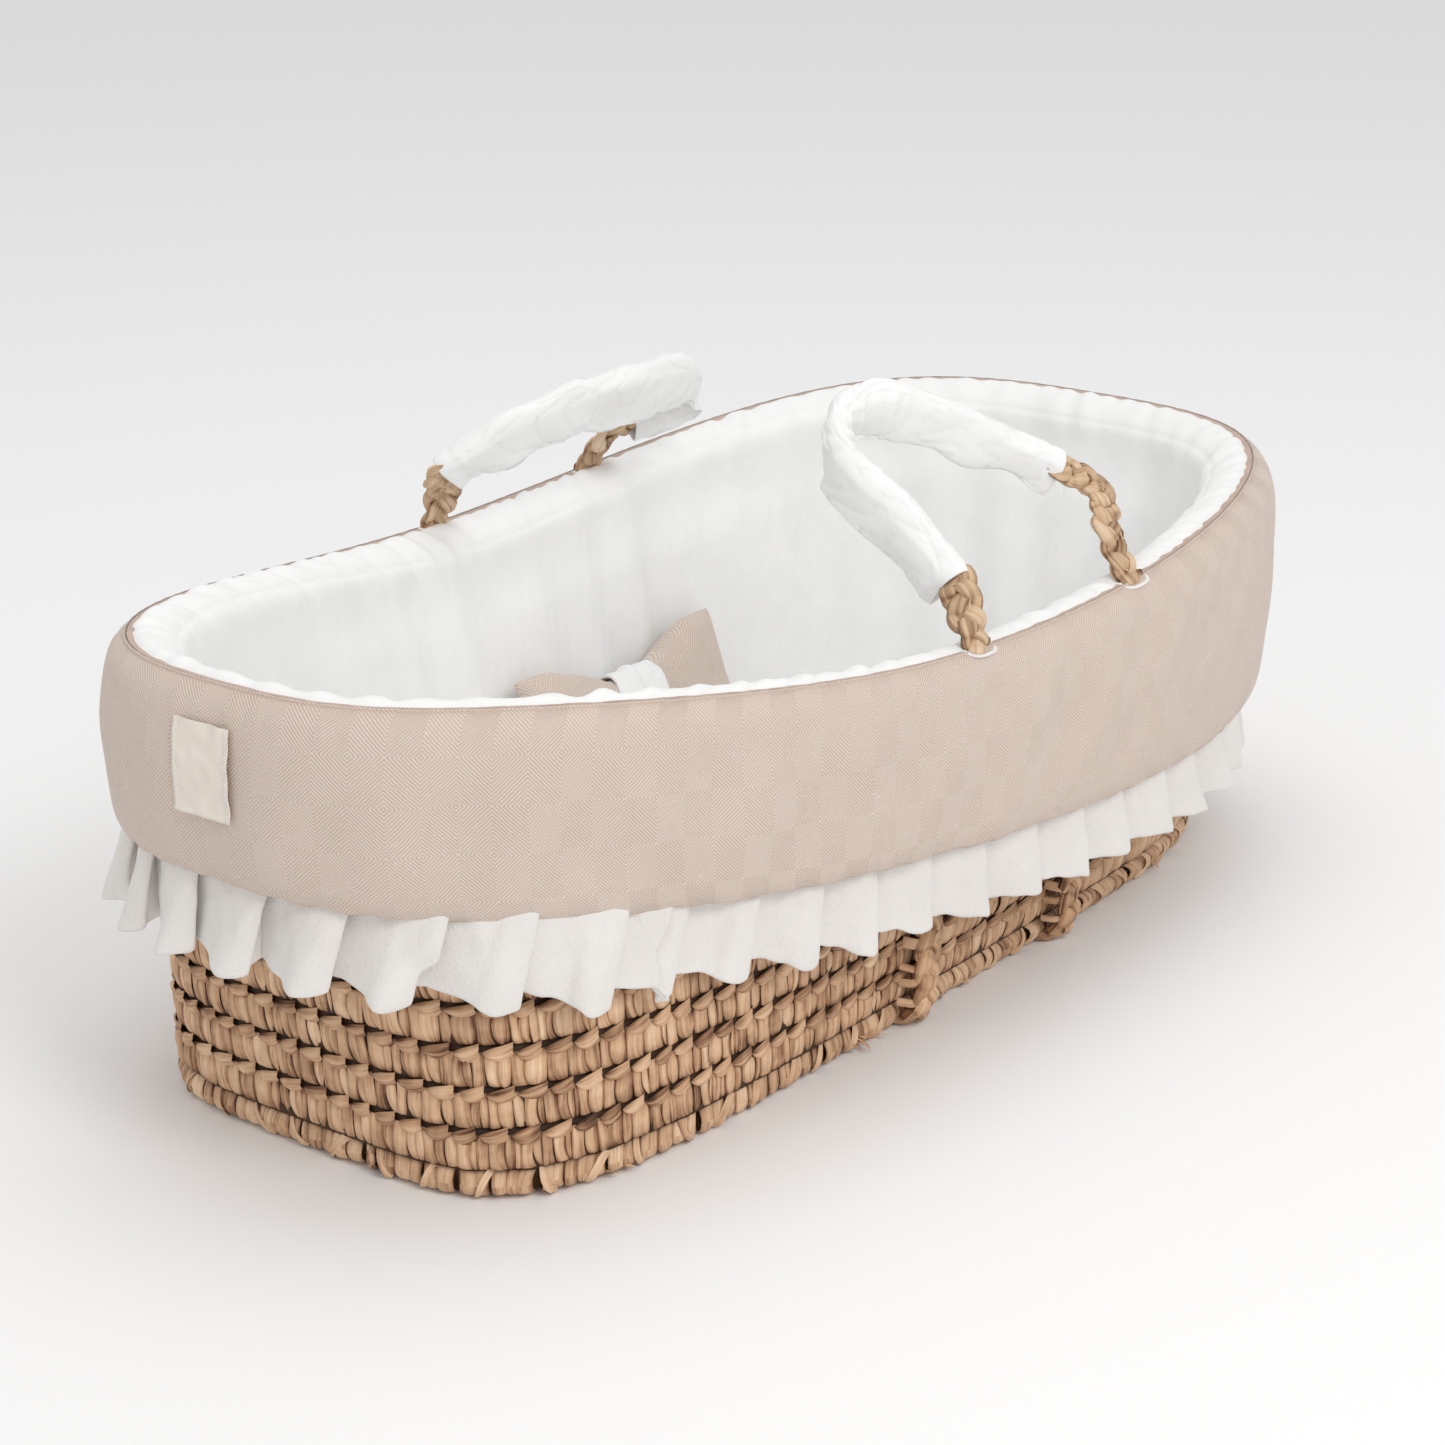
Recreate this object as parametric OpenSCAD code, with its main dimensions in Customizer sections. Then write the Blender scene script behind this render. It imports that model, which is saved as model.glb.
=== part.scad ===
// Woven palm carrying bassinet (Moses basket) with a padded cover, frill, two rope handles,
// a mattress and a bow cushion. Millimetres. +X points to the head end, +Z up, and the
// origin is on the floor under the middle of the basket.

/* [Basket] */
// Half length of the basket's base
base_a = 376; // [340:1:420]
// Half width of the basket's base
base_b = 161; // [145:1:190]
// Half length over the crest of the rim
rim_a = 430; // [400:1:480]
// Half width over the crest of the rim
rim_b = 211; // [195:1:240]
// Height of the rim's crest at mid length
side_h = 243; // [205:1:290]
// Extra height of the crest at the foot end
foot_rise = 43; // [0:1:70]
// Extra height of the crest at the head end
head_rise = 25; // [0:1:70]
// Thickness of the woven wall
wall_t = 9; // [6:0.5:11]
// Number of plaited courses in the wall
courses = 10; // [8:1:11]

/* [Cover] */
// Height of the cover's hem above the floor at mid length
hem_z = 120; // [100:1:140]
// Drop of the hem from the foot end to the head end
hem_drop = 74; // [0:1:80]
// Drop of the pleated frill below the hem
frill_drop = 50; // [30:1:52]
// Thickness of the quilted liner
liner_t = 7; // [5:0.5:9]
// Thickness of the cover's outer cloth with its backing
cloth_t = 2; // [1.5:0.1:2.4]
// Width of the sewn label patch
label_w = 38; // [25:1:46]
// Height of the sewn label patch
label_h = 50; // [30:1:58]

/* [Straps and handles] */
// Middle of the two straps along the basket
strap_mid_x = 40; // [0:1:60]
// Distance between the two straps
strap_gap = 160; // [130:1:190]
// Width of a strap's flat braid
strap_w = 20; // [16:1:24]
// Thickness of a strap's flat braid
strap_t = 9; // [7:0.5:10]
// Width of a handle's rope
rope_w = 20; // [16:1:22]
// Thickness of a handle's rope
rope_t = 13; // [10:1:15]
// Thickness of a handle's sleeve over the flat of the rope
sleeve_t = 3; // [1.5:0.5:4]
// Thickness of a handle's sleeve at its two edges
sleeve_side = 7; // [3:0.5:8]
// Lean of the handles towards the middle
handle_lean = 45; // [30:1:60]
// Length of a handle's sleeve along the rope
sleeve_len = 305; // [240:5:310]

/* [Mattress and cushion] */
// Thickness of the mattress with its cover
mattress_h = 38; // [25:1:45]
// Thickness of the mattress cover's cloth
mattress_cloth = 2; // [1:0.5:3]
// Gap between the mattress and the liner
mattress_gap = 4; // [2:1:8]
// Half length of the bow cushion
bow_a = 102; // [80:1:110]
// Height of the bow cushion
bow_h = 92; // [76:1:111]
// Thickness of the bow cushion
bow_t = 40; // [30:1:50]
// Width of the bow cushion's middle band
bow_band_w = 44; // [30:1:48]

/* [Hidden] */

// Steps around the basket, and the clearance between neighbouring solids
ring_steps = 48;
gap = 0.3;
// Roundness of the base and the rim: 2 is an ellipse, more is squarer
base_n = 5;
rim_n = 2.8;
// The rim's plan is egg-shaped: wider at the head end, fuller in the middle
egg_tilt = 0.12;
egg_fill = -0.128;
// The wall's outer top edge lies inside the rim's crest, and the wall flares like a bowl
rim_inset = 10;
flare = 1.6;
// Coils: the wrapped roll under the base's edge and the one on the wall's top edge
coil_r = 8;
coil_in = 6;
rim_coil_r = 7;
wall_below_crest = 22;
// The plaited courses bulge out by this much between their stitch lines
rib = 1.6;
// Floor of woven palm, and the liner's floor panel on it
floor_z0 = 6.5;
floor_z1 = 15;
liner_floor_t = 2.5;
liner_floor_z = floor_z1 + gap;
mattress_z = liner_floor_z + liner_floor_t + gap;
mattress_top = mattress_z + mattress_h;
// Straps lie off the wall's ribs and are pressed flatter under the base
strap_off = 3;
strap_under = 6;
strap_fit = 0.5;
strap_xs = [strap_mid_x - strap_gap / 2, strap_mid_x + strap_gap / 2];
tie_zs = [34, 58];
tie_h = 5;
tie_t = 1.6;
// A strap ends in a rounded stub just above the crest, and the handle turns above it
stub_above = 2;
hinge_above_stub = 9;
rope_start = 10.5;
hole_rim = 4;
hole_depth = 3.5;

grass = "burlywood";
blush = [0.87, 0.79, 0.74];
white = [0.95, 0.95, 0.94];

// Handle routes as [along the basket, up the handle's plane], from the foot-side strap's
// top to the head-side one's, both measured from the foot-side strap. The near handle has
// slumped towards the foot, the far one droops over towards the head.
near_route = [[5, 36], [-3, 78], [-13, 124], [12, 151], [56, 147], [108, 112], [154, 76],
  [181, 48]];
far_route = [[-18, 40], [0, 66], [46, 90], [101, 92], [152, 92], [190, 84], [210, 62],
  [198, 40], [176, 30]];
// Start of each sleeve, measured along the rope from its foot-side end
near_sleeve_at = 22;
far_sleeve_at = 42;

// ---- outlines ----
function mix(p, q, f) = p * (1 - f) + q * f;
function ray(a) = [rim_a * cos(a), rim_b * sin(a)];
function oval(ha, hb, n, a) =
  ray(a) * pow(pow(abs(ray(a).x) / ha, n) + pow(abs(ray(a).y) / hb, n), -1 / n);
function egg(u) = 1 + egg_tilt * u + egg_fill * (u * u - pow(u, 4));
function egg_point(p, ha) = [p.x, p.y * egg(p.x / ha)];
function rim_point(a, d) = egg_point(oval(rim_a + d, rim_b + d, rim_n, a), rim_a + d);
function base_point(a, d) = oval(base_a + d, base_b + d, base_n, a);
function along(a) = rim_point(a, 0).x / rim_a;

// ---- heights ----
function rise(u) = (u < 0 ? foot_rise : head_rise) * (1.8 * u * u - 0.8 * pow(u, 4));
function crest_z(u) = side_h + rise(u);
function hem_at(u) = hem_z - hem_drop / 2 * u + 18 * u * u;
function wall_top(u) = crest_z(u) - wall_below_crest;

// A point of the woven wall: its outer face moved out by d, at height z
function wall_blend(z, u) = pow(min(z / wall_top(u), 1), flare);
function wall_point(a, z, d) =
  let (p = mix(base_point(a, d), rim_point(a, d - rim_inset), wall_blend(z, along(a))))
  [p.x, p.y, z];
function rim3(a, d, z) = [rim_point(a, d).x, rim_point(a, d).y, z];
// The same, but at least off away from the wall: the base's corners stand out further
function clear3(a, d, z, off) =
  let (r = rim3(a, d, z), w = wall_point(a, z, off)) r * r > w * w ? r : w;

// The same faces as a half width at a given x, for what lies across the basket
function oval_y(x, ha, hb, n) = hb * pow(1 - pow(abs(x) / ha, n), 1 / n);
function rim_y(x, d) = oval_y(x, rim_a + d, rim_b + d, rim_n) * egg(x / (rim_a + d));
function wall_y(x, z, d) =
  mix(oval_y(x, base_a + d, base_b + d, base_n), rim_y(x, d - rim_inset),
    wall_blend(z, x / rim_a));

angles = [for (i = [0:ring_steps - 1]) i * 360 / ring_steps];

// ---- mesh builders ----
// Twice the area inside a list of [x, y] corners, positive when they run anticlockwise
function turn(p) = [for (i = [0:len(p) - 1]) let (q = p[(i + 1) % len(p)])
  p[i][0] * q[1] - q[0] * p[i][1]] * [for (i = p) 1];
function flipped(list, yes) = yes ? [for (i = [len(list) - 1:-1:0]) list[i]] : list;

// Side faces between rows of m points each: rows first to last, closed into a ring or not
function side_faces(rows, m, ring, start = 0) = [for (i = [0:rows - (ring ? 1 : 2)], j = [0:m - 1])
  let (k = (i + 1) % rows, l = (j + 1) % m)
  each [[start + i * m + j, start + k * m + j, start + i * m + l],
    [start + k * m + j, start + k * m + l, start + i * m + l]]];

// Closed band around the basket: one closed profile for each angle, the first at +X
module ring_mesh(rings) {
  inward = turn([for (p = rings[0]) [p.x, p.z]]) > 0;
  polyhedron(points = [for (r = rings) each r],
    faces = [for (f = side_faces(len(rings), len(rings[0]), true)) flipped(f, inward)],
    convexity = 8);
}

// Solid bar through closed sections that run anticlockwise seen from its start, capped
module tube_mesh(rings) {
  n = len(rings);
  m = len(rings[0]);
  polyhedron(points = [for (r = rings) each r], faces = concat(side_faces(n, m, false),
    [[for (j = [0:m - 1]) j], [for (j = [m - 1:-1:0]) (n - 1) * m + j]]), convexity = 8);
}

// Open-ended pipe from outer and inner sections at the same stations
module pipe_mesh(outer, inner) {
  n = len(outer);
  m = len(outer[0]);
  q = n * m;
  faces = concat(side_faces(n, m, false),
    [for (f = side_faces(n, m, false, q)) flipped(f, true)],
    [for (j = [0:m - 1]) let (l = (j + 1) % m) each [[j, l, q + j], [q + j, l, q + l]]],
    [for (j = [0:m - 1]) let (l = (j + 1) % m, e = (n - 1) * m)
      each [[e + j, q + e + j, e + l], [q + e + j, q + e + l, e + l]]]);
  polyhedron(points = concat([for (r = outer) each r], [for (r = inner) each r]),
    faces = faces, convexity = 8);
}

module plate(d, z0, z1) {
  translate([0, 0, z0]) linear_extrude(z1 - z0) polygon([for (a = angles) base_point(a, d)]);
}

// ---- woven basket ----
module basket_floor() {
  color(grass) plate(-coil_in - coil_r - gap, floor_z0, floor_z1);
}

module base_coil() {
  sides = 10;
  color(grass) difference() {
    ring_mesh([for (a = angles) [for (j = [0:sides - 1])
      let (t = (j + 0.5) * 360 / sides, p = base_point(a, -coil_in + coil_r * cos(t)))
      [p.x, p.y, coil_r + coil_r * sin(t)]]]);
    for (x = strap_xs) translate([x - strap_w / 2 - strap_fit, -base_b * 2, -1])
      cube([strap_w + 2 * strap_fit, base_b * 4, coil_r + 2.5]);
  }
}

wall_z0 = 2 * coil_r + gap;
function course_z(u, c) = wall_z0 + (wall_top(u) - wall_z0) * c / courses;
module basket_wall() {
  color(grass) ring_mesh([for (a = angles) let (u = along(a)) concat(
    [for (c = [0:courses - 1], e = [[0, 0], [0.2, rib], [0.8, rib]])
      wall_point(a, course_z(u, c + e[0]), e[1])],
    [wall_point(a, wall_top(u), 0)],
    [for (f = [1, 0.8, 0.6, 0.4, 0.2, 0])
      wall_point(a, mix(wall_z0, wall_top(u), f), -wall_t)])]);
}

rim_coil_d = -rim_inset - wall_t / 2;
module rim_coil() {
  sides = 8;
  color(grass) ring_mesh([for (a = angles) [for (j = [0:sides - 1])
    let (t = (j + 0.5) * 360 / sides)
    rim3(a, rim_coil_d + rim_coil_r * cos(t),
      wall_top(along(a)) + rim_coil_r + gap + rim_coil_r * sin(t))]]);
}

// ---- straps ----
// Half of a strap's outline, from its rounded top down the wall to the floor, as [y, z];
// grow widens it all round for the space that it needs in the cover
function stub_z(x) = crest_z(x / rim_a) + stub_above;
function strap_y(x) = wall_y(x, wall_top(x / rim_a), strap_off) + strap_t / 2;
function strap_inner(x, grow) = concat(
  [for (z = [stub_z(x), wall_top(x / rim_a)])
    [wall_y(x, wall_top(x / rim_a), strap_off) - grow, z]],
  [for (f = [0.85, 0.7, 0.55, 0.4, 0.25, 0.12])
    [wall_y(x, f * wall_top(x / rim_a), strap_off) - grow, f * wall_top(x / rim_a)]],
  [[base_b + strap_off - grow, coil_r + 1], [base_b - coil_in, strap_under]]);
function strap_outer(x, grow) = concat(
  [for (z = [stub_z(x), wall_top(x / rim_a)])
    [wall_y(x, wall_top(x / rim_a), strap_off) + strap_t + grow, z]],
  [for (f = [0.85, 0.7, 0.55, 0.4, 0.25, 0.12])
    [wall_y(x, f * wall_top(x / rim_a), strap_off) + strap_t + grow, f * wall_top(x / rim_a)]],
  [[base_b + strap_off + strap_t - 1 + grow, coil_r + 2],
    [base_b + strap_off + strap_t * 0.6, coil_r / 2],
    [base_b + strap_off + strap_t * 0.2, 1], [base_b - coil_in, 0]]);
function strap_dome(x, grow) = [for (t = [150, 110, 70, 30])
  [strap_y(x) - (strap_t / 2 + grow) * cos(180 - t),
    stub_z(x) + (strap_t / 2 + grow) * sin(t)]];
function flip_y(list) = [for (i = [len(list) - 1:-1:0]) [-list[i][0], list[i][1]]];
module strap(x, grow = 0, grow_in = 0) {
  half = strap_w / 2 + grow;
  translate([x - half, 0, 0]) rotate([90, 0, 90]) linear_extrude(2 * half) polygon(concat(
    strap_dome(x, grow), strap_outer(x, grow), flip_y(strap_outer(x, grow)),
    flip_y(strap_dome(x, grow)), flipped(flip_y(strap_inner(x, grow_in)), true),
    flipped(strap_inner(x, grow_in), true)));
}
module strap_foot() { color(grass) strap(strap_xs[0]); }
module strap_head() { color(grass) strap(strap_xs[1]); }

// Leaf lashings that hold each strap to the wall, as flat staples over it
module strap_ties() {
  color("tan") for (x = strap_xs, s = [-1, 1], z = tie_zs) {
    y0 = wall_y(x, z, rib) + 2 * gap + 0.4;
    y1 = wall_y(x, z, strap_off) + strap_t + gap + 0.7;
    out = strap_w / 2 + 1 + tie_t;
    translate([x, s * (y0 + y1 + tie_t) / 2, z]) difference() {
      cube([2 * out, y1 + tie_t - y0, tie_h], center = true);
      translate([0, -s * tie_t, 0])
        cube([2 * (out - tie_t), y1 + tie_t - y0, tie_h + 1], center = true);
    }
  }
}

// ---- handles ----
hinge_y = (strap_y(strap_xs[0]) + strap_y(strap_xs[1])) / 2;
hinge_z = (stub_z(strap_xs[0]) + stub_z(strap_xs[1])) / 2 + hinge_above_stub;

// Smooth curve through the listed points, four steps to a span
function spline(a, b, c, d, f) = 0.5 * (2 * b + (c - a) * f
  + (2 * a - 5 * b + 4 * c - d) * f * f + (3 * b - a - 3 * c + d) * f * f * f);
function smooth(p, steps) = concat(
  [for (i = [0:len(p) - 2], s = [0:steps - 1])
    spline(p[max(i - 1, 0)], p[i], p[i + 1], p[min(i + 2, len(p) - 1)], s / steps)],
  [p[len(p) - 1]]);
function rope_path(route) = smooth(concat(
  [[0, rope_start], [0, rope_start + 9]], route,
  [[strap_gap, rope_start + 9], [strap_gap, rope_start]]), 4);
function lengths(p, i = 0, so_far = 0) = i == len(p) - 1 ? [so_far] :
  concat([so_far], lengths(p, i + 1, so_far + norm(p[i + 1] - p[i])));
function tangent(p, i) =
  let (d = p[min(i + 1, len(p) - 1)] - p[max(i - 1, 0)]) d / norm(d);

// Section of half width w across the rope in the handle's plane and t out of the plane
function section(p, i, w, t, sides) =
  let (g = tangent(p, i), out = [g[1], -g[0]])
  [for (j = [0:sides - 1]) let (a = j * 360 / sides)
    [p[i][0] + w * cos(a) * out[0], t * sin(a), p[i][1] + w * cos(a) * out[1]]];

// Stands a handle drawn in its own plane on its hinge line: side is -1 near, 1 far
module place_handle(side) {
  translate([strap_xs[0], side * hinge_y, hinge_z]) rotate([side * handle_lean, 0, 0])
    children();
}
module handle_rope(route) {
  p = rope_path(route);
  last = len(p) - 1;
  ends = [0.45, 0.85];
  tube_mesh([for (i = [0:last])
    let (e = min(i, last - i), f = e < 2 ? ends[e] : 1)
    section(p, i, f * rope_w / 2, f * rope_t / 2, 10)]);
}
module handle_sleeve(route, at) {
  p = rope_path(route);
  s = lengths(p);
  // Stations of the rope that the sleeve covers; the sleeve is as long as they reach
  on = [for (i = [0:len(p) - 1]) if (s[i] >= at && s[i] <= at + sleeve_len) i];
  w = rope_w / 2 + gap;
  t = rope_t / 2 + gap;
  m = 12;
  pipe_mesh([for (i = on) section(p, i, w + sleeve_side, t + sleeve_t, m)],
    [for (i = on) section(p, i, w, t, m)]);
}
module handle_rope_near() { color(grass) place_handle(-1) handle_rope(near_route); }
module handle_rope_far() { color(grass) place_handle(1) handle_rope(far_route); }
module handle_sleeve_near() {
  color(white) place_handle(-1) handle_sleeve(near_route, near_sleeve_at);
}
module handle_sleeve_far() {
  color(white) place_handle(1) handle_sleeve(far_route, far_sleeve_at);
}

// ---- cover ----
// Outer face of the cover as [distance out from the crest line, height], seam to hem
function cover_outer(u, shrink) =
  let (zc = crest_z(u), zh = hem_at(u), h = zc - zh)
  [[-4, zc - shrink], [5 - shrink * 0.7, zc - 4 - shrink * 0.9],
    [11 - shrink, zc - 14 - shrink * 0.4], [14 - shrink, zc - 34],
    [14.5 - shrink, zc - 0.45 * h], [13 - shrink, zc - 0.7 * h],
    [10 - shrink, zc - 0.88 * h], [4 - shrink * 0.8, zc - 0.97 * h + shrink * 0.6],
    [-6, zh + shrink]];
hem_clear = 6;
module cover_band() {
  color(blush) difference() {
    ring_mesh([for (a = angles) let (u = along(a), zh = hem_at(u)) concat(
      [for (p = cover_outer(u, 0)) clear3(a, p[0], p[1], hem_clear + 2)],
      [wall_point(a, zh + 0.4, hem_clear), wall_point(a, zh + 0.4 + cloth_t, hem_clear)],
      [for (p = flipped(cover_outer(u, cloth_t), true)) clear3(a, p[0], p[1], hem_clear + 2)])]);
    strap_space();
  }
}

// Wadding: fills the outer face, rolls over the rim's coil and ends inside the wall
module cover_wadding() {
  color("ivory") difference() {
    ring_mesh([for (a = angles) let (u = along(a), zc = crest_z(u), zh = hem_at(u),
      zt = wall_top(u), r = rim_coil_r + 1, c = rim_coil_d, s = cloth_t + 6 * gap) concat(
      [for (p = cover_outer(u, s)) clear3(a, p[0], p[1], hem_clear + 1)],
      [for (f = [0, 0.5, 1])
        wall_point(a, mix(zh + s + 0.6, zt - 8, f), rib + 3 * gap)],
      [rim3(a, c + r, zt + rim_coil_r), rim3(a, c + 0.7 * r, zt + rim_coil_r + 0.8 * r),
        rim3(a, c, zt + rim_coil_r + r + gap),
        rim3(a, c - 0.7 * r, zt + rim_coil_r + 0.8 * r), rim3(a, c - r, zt + rim_coil_r),
        rim3(a, c - r, zt - 3), rim3(a, c - r - 5.5, zt - 3), rim3(a, c - r - 5.5, zc - 18),
        rim3(a, c - r, zc - 9.5), rim3(a, -14, zc - 4.4)])]);
    strap_space();
  }
}

// Where the straps pass through the cover, open to the wall, and where its bound holes sit
module strap_space() {
  for (x = strap_xs) strap(x, strap_fit, 2);
  for (x = strap_xs, s = [-1, 1]) hole_block(x, s, gap);
}
module hole_block(x, s, grow) {
  half_x = strap_w / 2 + strap_fit + hole_rim + grow;
  half_y = strap_t / 2 + strap_fit + hole_rim + grow;
  z = crest_z(x / rim_a);
  translate([x - half_x, s * strap_y(x) - half_y, z - hole_depth - grow])
    cube([2 * half_x, 2 * half_y, hole_depth + 30]);
}
module buttonholes() {
  color(white) for (x = strap_xs, s = [-1, 1]) {
    w = strap_w + 2 * strap_fit + 2 * hole_rim;
    t = strap_t + 2 * strap_fit + 2 * hole_rim;
    z = crest_z(x / rim_a) - hole_depth;
    translate([x, s * strap_y(x), z]) difference() {
      translate([0, 0, (hole_depth - 1) / 2]) cube([w, t, hole_depth - 1], center = true);
      cube([w - 2 * hole_rim, t - 2 * hole_rim, 20], center = true);
    }
  }
}

// Quilted liner: from the seam on the crest down the inside of the wall
module liner_wall() {
  color(white) difference() {
    ring_mesh([for (a = angles) let (u = along(a), zc = crest_z(u), zt = wall_top(u),
      c = rim_coil_d - rim_coil_r - 1, low = liner_floor_z, skin = 2) concat(
      [rim3(a, -4 - gap, zc), rim3(a, -14, zc - 1.6), rim3(a, c - 1.2, zc - 7),
        rim3(a, c - 5.8 - skin, zc - 17), rim3(a, c - 6.2 - skin, zt - 6)],
      [for (f = [0.8, 0.6, 0.4, 0.2, 0])
        wall_point(a, mix(low, zt, f), -wall_t - liner_t - gap - 5 * f * f)],
      [for (f = [0, 0.2, 0.4, 0.6, 0.8]) wall_point(a, mix(low, zt, f), -wall_t - 5 * gap)],
      [rim3(a, c - 0.6, zt - 4), rim3(a, c - 5.9, zt - 3.5), rim3(a, c - 5.9, zc - 18),
        rim3(a, c - 0.3, zc - 9.1), rim3(a, -14, zc - 4), rim3(a, -4 - gap, zc - 2)])]);
    for (x = strap_xs, s = [-1, 1]) hole_block(x, s, gap);
  }
}
module liner_floor() {
  color(white) plate(-wall_t - liner_t - 2 * gap, liner_floor_z, liner_floor_z + liner_floor_t);
}

// Frill: a plain skirt with the room that its pleats take
module frill() {
  color(white) ring_mesh([for (a = angles) let (z = hem_at(along(a)) - 3 * gap)
    [for (e = [[-5, 0, 7], [-1, 0.5, 10], [1, 1, 10], [-9, 1, 3], [-11, 0.5, 3], [-12, 0, 3]])
      clear3(a, e[0], z - frill_drop * e[1], hem_clear + e[2])]]);
}

// Elastic in the hem's inner edge, close to the wall
module hem_elastic() {
  color(white) difference() {
    ring_mesh([for (a = angles) let (z = hem_at(along(a)))
      [for (e = [[hem_clear - 4, -1], [rib + 1, -1], [rib + 1, -4], [hem_clear - 4, -4]])
        wall_point(a, z + e[1], e[0])]]);
    for (x = strap_xs) strap(x, strap_fit, 2);
  }
}

// Blank label patch sewn on the middle of the foot end
module label_patch() {
  faces = cover_outer(-1, 0);
  table = [for (i = [len(faces) - 1:-1:0]) [faces[i][1], faces[i][0]]];
  mid_z = crest_z(-1) - 43;
  zs = [for (f = [0:6]) mid_z + label_h * (f / 6 - 0.5)];
  face = function(z, off) -(rim_a + lookup(z, table) + off);
  color(white) translate([0, label_w / 2, 0]) rotate([90, 0, 0]) linear_extrude(label_w)
    polygon(concat([for (z = zs) [face(z, gap), z]],
      [for (i = [len(zs) - 1:-1:0]) [face(zs[i], gap + 1), zs[i]]]));
}

// ---- mattress ----
mattress_d = -wall_t - liner_t - 2 * gap - mattress_gap;
module mattress_core() {
  color("lemonchiffon") plate(mattress_d - mattress_cloth - gap,
    mattress_z + mattress_cloth + gap, mattress_top - mattress_cloth - gap);
}
module mattress_cover() {
  color(white) difference() {
    plate(mattress_d, mattress_z, mattress_top);
    plate(mattress_d - mattress_cloth, mattress_z + mattress_cloth,
      mattress_top - mattress_cloth);
  }
}

// ---- bow cushion, leaning on the far side of the liner ----
bow_x = 68;
bow_lean = 68;
bow_waist = 0.5;
// Share of its full section that the bow has at f of its half length
function bow_share(f) = let (w = bow_band_w / 2 / bow_a + 0.03, g = max(0, (f - w) / (1 - w)))
  (bow_waist + (1 - bow_waist) * sin(min(g * 1.25, 1) * 90)) * (g > 0.9 ? 1 - 2.2 * (g - 0.9) : 1);
function bow_section(f, sides, grow) = [for (j = [0:sides - 1]) let (t = j * 360 / sides,
  s = bow_share(abs(f)), c = pow(abs(cos(t)), 0.8), v = pow(abs(sin(t)), 0.9))
  [f * bow_a, sign(cos(t)) * c * (s * bow_h / 2 + grow), sign(sin(t)) * v
    * ((0.35 + 0.65 * s) * bow_t / 2 + grow)]];
// Puts the bow on the mattress with its upper edge against the liner
module place_bow() {
  reach = bow_h / 2;
  y_wall = wall_y(bow_x, mattress_top + 80, -wall_t - liner_t - 3);
  low = reach * sin(bow_lean) + bow_t / 2 * cos(bow_lean) * 0.75;
  translate([bow_x, y_wall - reach * cos(bow_lean) - bow_t / 2 * sin(bow_lean) * 0.8,
    mattress_top + gap + low]) rotate([bow_lean, 0, 0]) children();
}
module bow_cushion() {
  waist = bow_band_w / 2 / bow_a + 0.02;
  color(blush) place_bow() tube_mesh([for (f = [-1, -0.93, -0.8, -0.6, -0.4, -waist, waist, 0.4,
    0.6, 0.8, 0.93, 1]) bow_section(f, 16, 0)]);
}
module bow_band() {
  outer = [for (p = bow_section(0, 16, gap + 3)) [p[1], p[2]]];
  inner = [for (p = bow_section(0, 16, gap)) [p[1], p[2]]];
  color(white) place_bow() translate([-bow_band_w / 2, 0, 0]) rotate([90, 0, 90])
    linear_extrude(bow_band_w) difference() {
      polygon(outer);
      polygon(inner);
    }
}

basket_floor();
base_coil();
basket_wall();
rim_coil();
strap_foot();
strap_head();
strap_ties();
handle_rope_near();
handle_rope_far();
handle_sleeve_near();
handle_sleeve_far();
cover_band();
cover_wadding();
liner_wall();
liner_floor();
frill();
hem_elastic();
buttonholes();
label_patch();
mattress_core();
mattress_cover();
bow_cushion();
bow_band();
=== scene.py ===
"""Looks of the woven palm bassinet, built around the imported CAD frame. Metres, row frame."""

import math

import bpy
import numpy as np
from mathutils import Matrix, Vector


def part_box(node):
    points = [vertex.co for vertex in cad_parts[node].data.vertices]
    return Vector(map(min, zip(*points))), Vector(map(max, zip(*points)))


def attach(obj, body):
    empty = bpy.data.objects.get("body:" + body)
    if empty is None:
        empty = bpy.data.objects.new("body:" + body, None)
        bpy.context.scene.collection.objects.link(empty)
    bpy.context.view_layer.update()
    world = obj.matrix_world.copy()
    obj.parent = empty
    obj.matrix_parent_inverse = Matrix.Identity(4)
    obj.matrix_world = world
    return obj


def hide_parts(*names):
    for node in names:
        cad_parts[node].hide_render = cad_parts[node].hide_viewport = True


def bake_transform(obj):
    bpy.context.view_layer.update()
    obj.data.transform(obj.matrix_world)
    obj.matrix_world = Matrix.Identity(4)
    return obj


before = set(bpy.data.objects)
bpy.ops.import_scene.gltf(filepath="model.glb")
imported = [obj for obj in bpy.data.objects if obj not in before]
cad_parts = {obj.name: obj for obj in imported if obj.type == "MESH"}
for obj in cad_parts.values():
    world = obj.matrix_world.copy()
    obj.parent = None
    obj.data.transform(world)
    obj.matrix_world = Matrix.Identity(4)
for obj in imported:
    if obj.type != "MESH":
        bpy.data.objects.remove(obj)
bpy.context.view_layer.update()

# ---- camera ----
CAMERA_AT = (-1.547, -1.168, 0.829)
CAMERA_TO = (-0.0065, 0.0, 0.145)
LENS = 82.74


def aimed(name, data, at, to):
    """A new camera or light at one point, looking at another."""
    obj = bpy.data.objects.new(name, data)
    bpy.context.scene.collection.objects.link(obj)
    obj.location = at
    obj.rotation_euler = (Vector(to) - Vector(at)).to_track_quat("-Z", "Y").to_euler()
    return obj


cam = aimed("camera", bpy.data.cameras.new("camera"), CAMERA_AT, CAMERA_TO)
cam.data.lens = LENS
cam.data.sensor_width = 36
bpy.context.scene.camera = cam

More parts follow.
